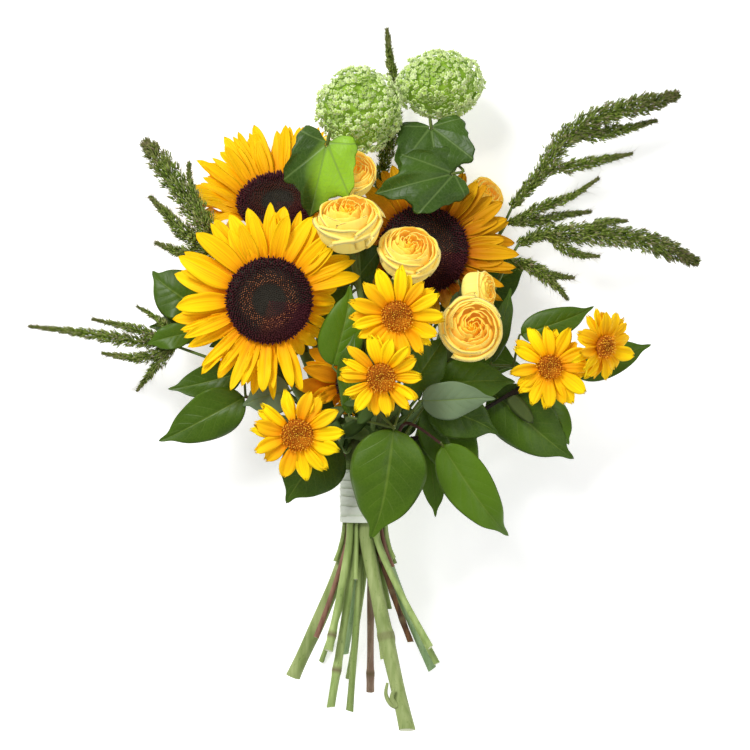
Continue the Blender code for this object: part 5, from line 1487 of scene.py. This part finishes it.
def stem_effect():
    """Stems: long pale streaks, darker flecks and patches, a brown ring at each joint (tone 1), a pale cut
    end, and painted shade: deeper green above the binding, where the rest of the bouquet shades them."""
    inputs = {"place": ("Place",), "value": ("Tone", "Side"), "colour": ("Body", "Light", "Dark")}
    effect = Effect("stem_skin", inputs, {"colour": ("Colour",), "value": ("Height",)})
    given = effect.given
    place = given["Place"]
    long = effect.noise(place, 300.0, 3.0, (1, 0.06, 1))
    fleck = effect.noise(place, 620.0, 2.0, (1, 0.45, 1))
    patch = effect.noise(place, 28.0, 2.0)
    body = effect.mix(effect.band(long, 0.35, 0.68), given["Body"], given["Light"])
    body = effect.over(body, given["Dark"], effect.band(fleck, 0.62, 0.72), 0.45)
    body = effect.over(body, given["Dark"], effect.band(patch, 0.48, 0.7), 0.40)
    # Painted shade: the stems darken above the binding's top, where the rest of the bouquet shades them.
    height = effect.node("ShaderNodeSeparateXYZ", {0: place}).outputs[1]
    body = effect.over(body, given["Dark"], effect.band(height, -0.070, -0.045), 0.9)
    body = effect.over(body, (0.15, 0.11, 0.055), effect.band(given["Tone"], 0.2, 0.8), 0.85)
    body = effect.mix(effect.opposite(given["Side"]), body, (0.62, 0.66, 0.42))
    effect.give(Colour=body, Height=long)


def petal_paint(name, glow, **colours):
    paint = Paint(name, 0.6, 0.12)
    streak = paint.streaks(8.0, 0.6)
    where = {"Across": paint.across, "Along": paint.along, "Tone": paint.tone, "Side": paint.side}
    named = {title.replace("_", " "): colour for title, colour in colours.items()}
    flesh = paint.effect("petal_flesh", **where, Streak=streak, **named)
    paint.finish(flesh["Colour"], streak, 0.5, 0.0009, glow)


def green_blade(paint, pattern, **colours):
    where = {"Place": paint.place, "Across": paint.across, "Tone": paint.tone, "Side": paint.side}
    flesh = paint.effect("leaf_flesh", **where, Pattern=pattern, Gloss=0.40, **colours)
    paint.finish(flesh["Colour"], flesh["Height"], 0.4, 0.0007, 0.02, flesh["Roughness"])


def stem_paint(name, body, light, dark, roughness):
    paint = Paint(name, roughness, 0.25)
    where = {"Place": paint.place, "Tone": paint.tone, "Side": paint.side}
    skin = paint.effect("stem_skin", **where, Body=body, Light=light, Dark=dark)
    paint.finish(skin["Colour"], skin["Height"], 0.35, 0.0005)


def disc_paint():
    """Near-black middle, a ring of open florets with orange tips, and a maroon rim of bristles."""
    paint = Paint("disc", 0.75, 0.2)
    zone = paint.ramp(
        paint.across,
        (0.0, (0.030, 0.026, 0.018)), (0.36, (0.026, 0.021, 0.015)), (0.45, (0.075, 0.020, 0.012)),
        (0.62, (0.072, 0.016, 0.014)), (0.74, (0.040, 0.007, 0.010)), (1.0, (0.046, 0.008, 0.012)),
    )
    beyond = paint.opposite(paint.band(paint.across, 0.62, 0.70))
    ringed = paint.times(paint.band(paint.across, 0.38, 0.46), beyond)
    tips = paint.times(paint.band(paint.along, 0.60, 0.90), paint.band(paint.tone, 0.25, 0.75))
    body = paint.mix(paint.times(ringed, tips), zone, (0.58, 0.20, 0.08))
    tips = paint.times(paint.band(paint.across, 0.64, 0.8), paint.band(paint.along, 0.5, 1.0))
    body = paint.over(body, (0.12, 0.018, 0.028), tips, 0.6)
    paint.finish(body, paint.noise(paint.place, 900.0, 2.0), 0.3, 0.0003)


def rose_paint():
    """Creamy yellow outside, golden further in, and golden low on the petals' faces, partly their own colour
    and partly painted shade between the petals, with fine lengthwise veins.
    """
    paint = Paint("rose", 0.6, 0.15)
    outer = paint.ramp(
        paint.along, (0.0, (0.56, 0.64, 0.12)), (0.22, (0.88, 0.80, 0.22)), (0.6, (0.97, 0.79, 0.20)),
        (0.93, (1.0, 0.76, 0.15)), (1.0, (1.0, 0.86, 0.34)),
    )
    inner = paint.ramp(
        paint.along, (0.0, (0.88, 0.34, 0.004)), (0.6, (0.96, 0.48, 0.006)), (0.9, (1.0, 0.62, 0.02)),
        (1.0, (1.0, 0.76, 0.10)),
    )
    body = paint.mix(paint.band(paint.tone, 0.10, 0.95), outer, inner)
    vein = paint.streaks(12.0, 1.0)
    body = paint.over(body, (0.98, 0.62, 0.06), paint.band(vein, 0.5, 0.75), 0.25)
    # Low on each petal's face, inside the cup: partly the petal's own deeper colour at its foot, partly
    # painted shade between the petals.
    face = paint.times(paint.side, paint.opposite(paint.band(paint.along, 0.55, 0.95)))
    body = paint.over(body, (0.95, 0.48, 0.012), face, 0.45)
    paint.finish(body, vein, 0.25, 0.0005, 0.13)


def daisy_centre_paint():
    """Amber bristles with bright tips, dark between their feet."""
    paint = Paint("daisy_centre", 0.8, 0.15)
    body = paint.ramp(
        paint.across, (0.0, (0.42, 0.12, 0.005)), (0.40, (0.52, 0.15, 0.006)), (0.75, (0.80, 0.30, 0.012)),
        (1.0, (0.72, 0.24, 0.006)),
    )
    bright = paint.times(paint.band(paint.along, 0.6, 0.95), paint.band(paint.tone, 0.3, 0.75))
    body = paint.mix(bright, body, (1.0, 0.60, 0.05))
    low = paint.opposite(paint.band(paint.along, 0.0, 0.6))
    body = paint.over(body, (0.24, 0.045, 0.002), low, 0.6)
    paint.finish(body, paint.noise(paint.place, 900.0), 0.3, 0.0003, 0.04)


def floret_paint():
    """Pale lime florets, greener in their eyes, with painted shade: deep green where they sit low between the
    lumps of the head.
    """
    paint = Paint("floret", 0.65, 0.2)
    body = paint.ramp(
        paint.along, (0.0, (0.26, 0.42, 0.035)), (0.40, (0.46, 0.63, 0.13)), (0.80, (0.70, 0.84, 0.36)),
        (1.0, (0.84, 0.92, 0.54)),
    )
    body = paint.over(body, (0.88, 0.95, 0.62), paint.band(paint.tone, 0.45, 1.0), 0.5)
    # Painted shade on the florets sunk between the lumps, and on the core.
    low = paint.opposite(paint.band(paint.across, 0.0, 0.8))
    body = paint.over(body, (0.22, 0.38, 0.03), low, 0.6)
    paint.finish(body, paint.noise(paint.place, 700.0), 0.15, 0.0003, 0.08)


def salal_paint():
    """A midrib and side veins where leaf() bulges between them."""
    paint = Paint("salal", 0.4, 0.24)
    off = paint.math("ABSOLUTE", paint.across)
    veins = {"Veins": SALAL_VEINS, "Slant": SALAL_SLANT, "Width": 0.045}
    ribs = paint.effect("side_veins", Along=paint.along, Off=off, **veins)["Ribs"]
    ribs = paint.times(ribs, paint.opposite(paint.band(off, 0.35, 0.95)))
    midrib = paint.opposite(paint.band(off, 0.015, 0.055))
    green_blade(
        paint, paint.math("MAXIMUM", paint.times(ribs, 0.5), midrib),
        Deep=(0.028, 0.066, 0.0015), Bright=(0.060, 0.125, 0.0035), Lit=(0.115, 0.235, 0.006),
        Vein=(0.16, 0.24, 0.030), Underside=(0.17, 0.24, 0.125),
    )


def lobed_paint():
    """Veins that run out to the lobes from the leaf's base, and side veins between them."""
    paint = Paint("lobed", 0.4, 0.26)
    off = paint.math("ABSOLUTE", paint.across)
    near = paint.math("ABSOLUTE", paint.math("SUBTRACT", off, 0.42))
    outer = paint.math("ABSOLUTE", paint.math("SUBTRACT", off, 0.82))
    near = paint.math("MINIMUM", paint.math("MINIMUM", near, outer), off)
    main = paint.opposite(paint.band(paint.times(near, paint.along), 0.003, 0.012))
    ribs = paint.effect("side_veins", Along=paint.along, Off=near, Veins=9.0, Slant=14.0, Width=0.06)["Ribs"]
    green_blade(
        paint, paint.math("MAXIMUM", main, paint.times(ribs, 0.45)),
        Deep=(0.020, 0.052, 0.003), Bright=(0.050, 0.110, 0.007), Lit=(0.27, 0.50, 0.022),
        Vein=(0.15, 0.23, 0.06), Underside=(0.24, 0.32, 0.18),
    )


def panicle_paint():
    """Grey-green spikelets of mixed tones, darker near the spike's axis as painted shade, purple-brown
    towards the spike's tip, with points like straw.
    """
    paint = Paint("panicle", 0.8, 0.2)
    body = paint.ramp(
        paint.tone,
        (0.0, (0.040, 0.066, 0.005)), (0.35, (0.110, 0.175, 0.014)), (0.70, (0.27, 0.39, 0.050)),
        (0.90, (0.38, 0.42, 0.13)), (1.0, (0.36, 0.30, 0.20)),
    )
    purple = paint.times(paint.band(paint.across, 0.70, 1.0), paint.band(paint.tone, 0.3, 0.7))
    body = paint.over(body, (0.15, 0.085, 0.07), purple, 0.75)
    body = paint.over(body, (0.40, 0.40, 0.18), paint.band(paint.along, 0.6, 1.0), 0.25)
    paint.finish(body, paint.noise(paint.place, 900.0), 0.2, 0.0003)


def tape_paint():
    """Pale woven tape, with painted shade darkening it along the crease at the edge of each turn."""
    paint = Paint("tape", 0.65, 0.3)
    weave = paint.noise(paint.place, 420.0, 3.0, (1, 1, 0.3))
    # Painted shade: darkest where the share along the turn is near 0, in the crease at the foot of each
    # turn's raised edge.
    body = paint.ramp(
        paint.along, (0.0, (0.40, 0.48, 0.33)), (0.07, (0.66, 0.73, 0.58)), (0.3, (0.80, 0.85, 0.73)),
        (1.0, (0.86, 0.90, 0.80)),
    )
    body = paint.over(body, (0.60, 0.67, 0.50), weave, 0.28)
    paint.finish(body, weave, 0.25, 0.0004)


def make_finishes():
    for make in (growth_effect, streak_effect, petal_effect, rib_effect, leaf_effect, stem_effect):
        make()
    petal_paint(
        "petal", 0.10, Foot=(0.93, 0.28, 0.0), Middle=(0.98, 0.50, 0.0), Tip=(1.0, 0.67, 0.002),
        Deep_foot=(0.50, 0.10, 0.0), Deep_tip=(0.90, 0.38, 0.004),
    )
    # A darker copy of the petal finish: painted shade for sunflower c, which lies in shade.
    petal_paint(
        "shaded_petal", 0.03, Foot=(0.50, 0.10, 0.0), Middle=(0.70, 0.30, 0.0), Tip=(0.88, 0.54, 0.002),
        Deep_foot=(0.28, 0.045, 0.0), Deep_tip=(0.56, 0.21, 0.002),
    )
    petal_paint(
        "daisy", 0.11, Foot=(0.94, 0.38, 0.0), Middle=(1.0, 0.62, 0.0), Tip=(1.0, 0.76, 0.002),
        Deep_foot=(0.70, 0.20, 0.0), Deep_tip=(0.95, 0.52, 0.004),
    )
    stem_paint("green_stem", (0.24, 0.34, 0.09), (0.38, 0.48, 0.17), (0.10, 0.16, 0.03), 0.55)
    stem_paint("pale_stem", (0.24, 0.31, 0.095), (0.36, 0.43, 0.17), (0.10, 0.16, 0.03), 0.6)
    stem_paint("blue_stem", (0.20, 0.31, 0.14), (0.32, 0.44, 0.23), (0.09, 0.15, 0.05), 0.55)
    stem_paint("bract", (0.075, 0.15, 0.018), (0.13, 0.23, 0.035), (0.04, 0.08, 0.01), 0.55)
    stem_paint("leaf_stalk", (0.17, 0.24, 0.04), (0.28, 0.24, 0.06), (0.09, 0.13, 0.02), 0.55)
    stem_paint("red_twig", (0.17, 0.075, 0.050), (0.32, 0.17, 0.11), (0.06, 0.022, 0.016), 0.65)
    stem_paint("woody_stem", (0.24, 0.15, 0.10), (0.36, 0.26, 0.19), (0.09, 0.05, 0.03), 0.85)
    stem_paint("bark_stem", (0.034, 0.018, 0.011), (0.16, 0.075, 0.030), (0.007, 0.005, 0.004), 0.8)
    for make in (
        disc_paint, rose_paint, daisy_centre_paint, floret_paint, salal_paint, lobed_paint, panicle_paint,
        tape_paint,
    ):
        make()


# Studio

def studio():
    """A pale floor, a soft key light from the upper left, a weaker fill, and a camera straight above."""
    plain = bpy.data.materials.new("floor")
    plain.use_nodes = True
    shader = plain.node_tree.nodes["Principled BSDF"]
    shader.inputs["Base Color"].default_value = (0.92, 0.92, 0.92, 1)
    shader.inputs["Roughness"].default_value = 1.0
    shader.inputs["Specular IOR Level"].default_value = 0.0
    shader.inputs["Emission Color"].default_value = (1, 1, 1, 1)
    shader.inputs["Emission Strength"].default_value = FLOOR_GLOW
    mesh = bpy.data.meshes.new("floor")
    corners = [(x * FLOOR_HALF, y * FLOOR_HALF, FLOOR_LOW) for x, y in ((-1, -1), (1, -1), (1, 1), (-1, 1))]
    mesh.from_pydata(corners, [], [(0, 1, 2, 3)])
    mesh.materials.append(plain)
    floor = bpy.data.objects.new("floor", mesh)
    bpy.context.scene.collection.objects.link(floor)
    world = bpy.data.worlds.new("studio")
    world.use_nodes = True
    sky = world.node_tree.nodes["Background"].inputs
    sky["Color"].default_value = (1.0, 1.0, 1.0, 1)
    sky["Strength"].default_value = WORLD_GLOW
    bpy.context.scene.world = world
    for title, (place, size, power) in LAMPS.items():
        lamp = bpy.data.lights.new(title, "AREA")
        lamp.energy = power
        lamp.size = size
        holder = bpy.data.objects.new(title, lamp)
        holder.location = place
        holder.rotation_euler = (-Vector(place)).to_track_quat("-Z", "Y").to_euler()
        bpy.context.scene.collection.objects.link(holder)
    eye = bpy.data.cameras.new("camera")
    eye.lens = SENSOR * SHOWN_FROM / SHOWN_WIDTH
    eye.clip_end = 50
    holder = bpy.data.objects.new("camera", eye)
    holder.location = EYE_AT
    bpy.context.scene.collection.objects.link(holder)
    bpy.context.scene.camera = holder
    bpy.context.scene.view_settings.view_transform = "Standard"


# The bouquet

def head_base(head):
    """Two points behind a rose or a daisy, through which its stem runs up to it."""
    if head in ROSES:
        at, facing, size = ROSES[head][:3]
        depths = [size * share for share in ROSE_NECK]
    else:
        at, facing = DAISIES[head][:2]
        depths = DAISY_NECK
    return [facing_frame(at, facing) @ Vector((0, 0, -depth)) for depth in depths]


def branched(name, path):
    """A stem with its side branches, what holds each rose or daisy, and small leaves low down."""
    top, forks = BRANCHES[name]
    path = path + head_base(top)
    green = Growth()
    grow_stem(green, name, path, 0.7, 0)
    for share, points, head, radius in forks:
        route = smooth_path([point_at(path, share), *points, *head_base(head)], 3.0)
        green.sweep(route, np.full(len(route), radius), 10, 0.0, 0)
    for head in sorted([top] + [fork[2] for fork in forks]):
        if head in ROSES:
            calyx(green, *ROSES[head][:3], 1)
        else:
            daisy_cup(green, head, 1)
    leaflets(green, name, path, 1)
    green.finish("fine_" + name, [stem_skin(name), "bract"], "stem", name)


def viburnum(name, path, head):
    at, _, below = SNOWBALLS[head]
    path = path + [Vector(at) - Vector((0, below, 4))]
    growth = Growth()
    grow_stem(growth, name, path, 0.7, 0)
    for owner, share, points, base, tip, width, roll, lit in LOBED:
        if owner == name:
            lobed_leaf(growth, (point_at(path, share), *points), base, tip, width, roll, 1, 2, lit)
    growth.finish("fine_" + name, [stem_skin(name), "lobed", "leaf_stalk"], "lobed", name)


def grow_bouquet():
    paths, slots = stem_paths()
    binding(slots)
    for letter in SUNFLOWERS:
        sunflower_petals(letter)
        sunflower_disc(letter)
        sunflower_stem(letter, paths[f"sunflower_{letter}_stem"])
    for name in ROSES:
        rose(name)
    for name in DAISIES:
        daisy(name)
    for name in SNOWBALLS:
        snowball(name)
    for name in SPIKES:
        panicle(name, paths[name])
    for name in STEMS:
        if name.startswith("salal"):
            leafy_stem(name, paths[name])
    for name in BRANCHES:
        branched(name, paths[name])
    for side in ("left", "right"):
        name = "viburnum_stem_" + side
        viburnum(name, paths[name], "snowball_" + side)


make_finishes()
grow_bouquet()
studio()
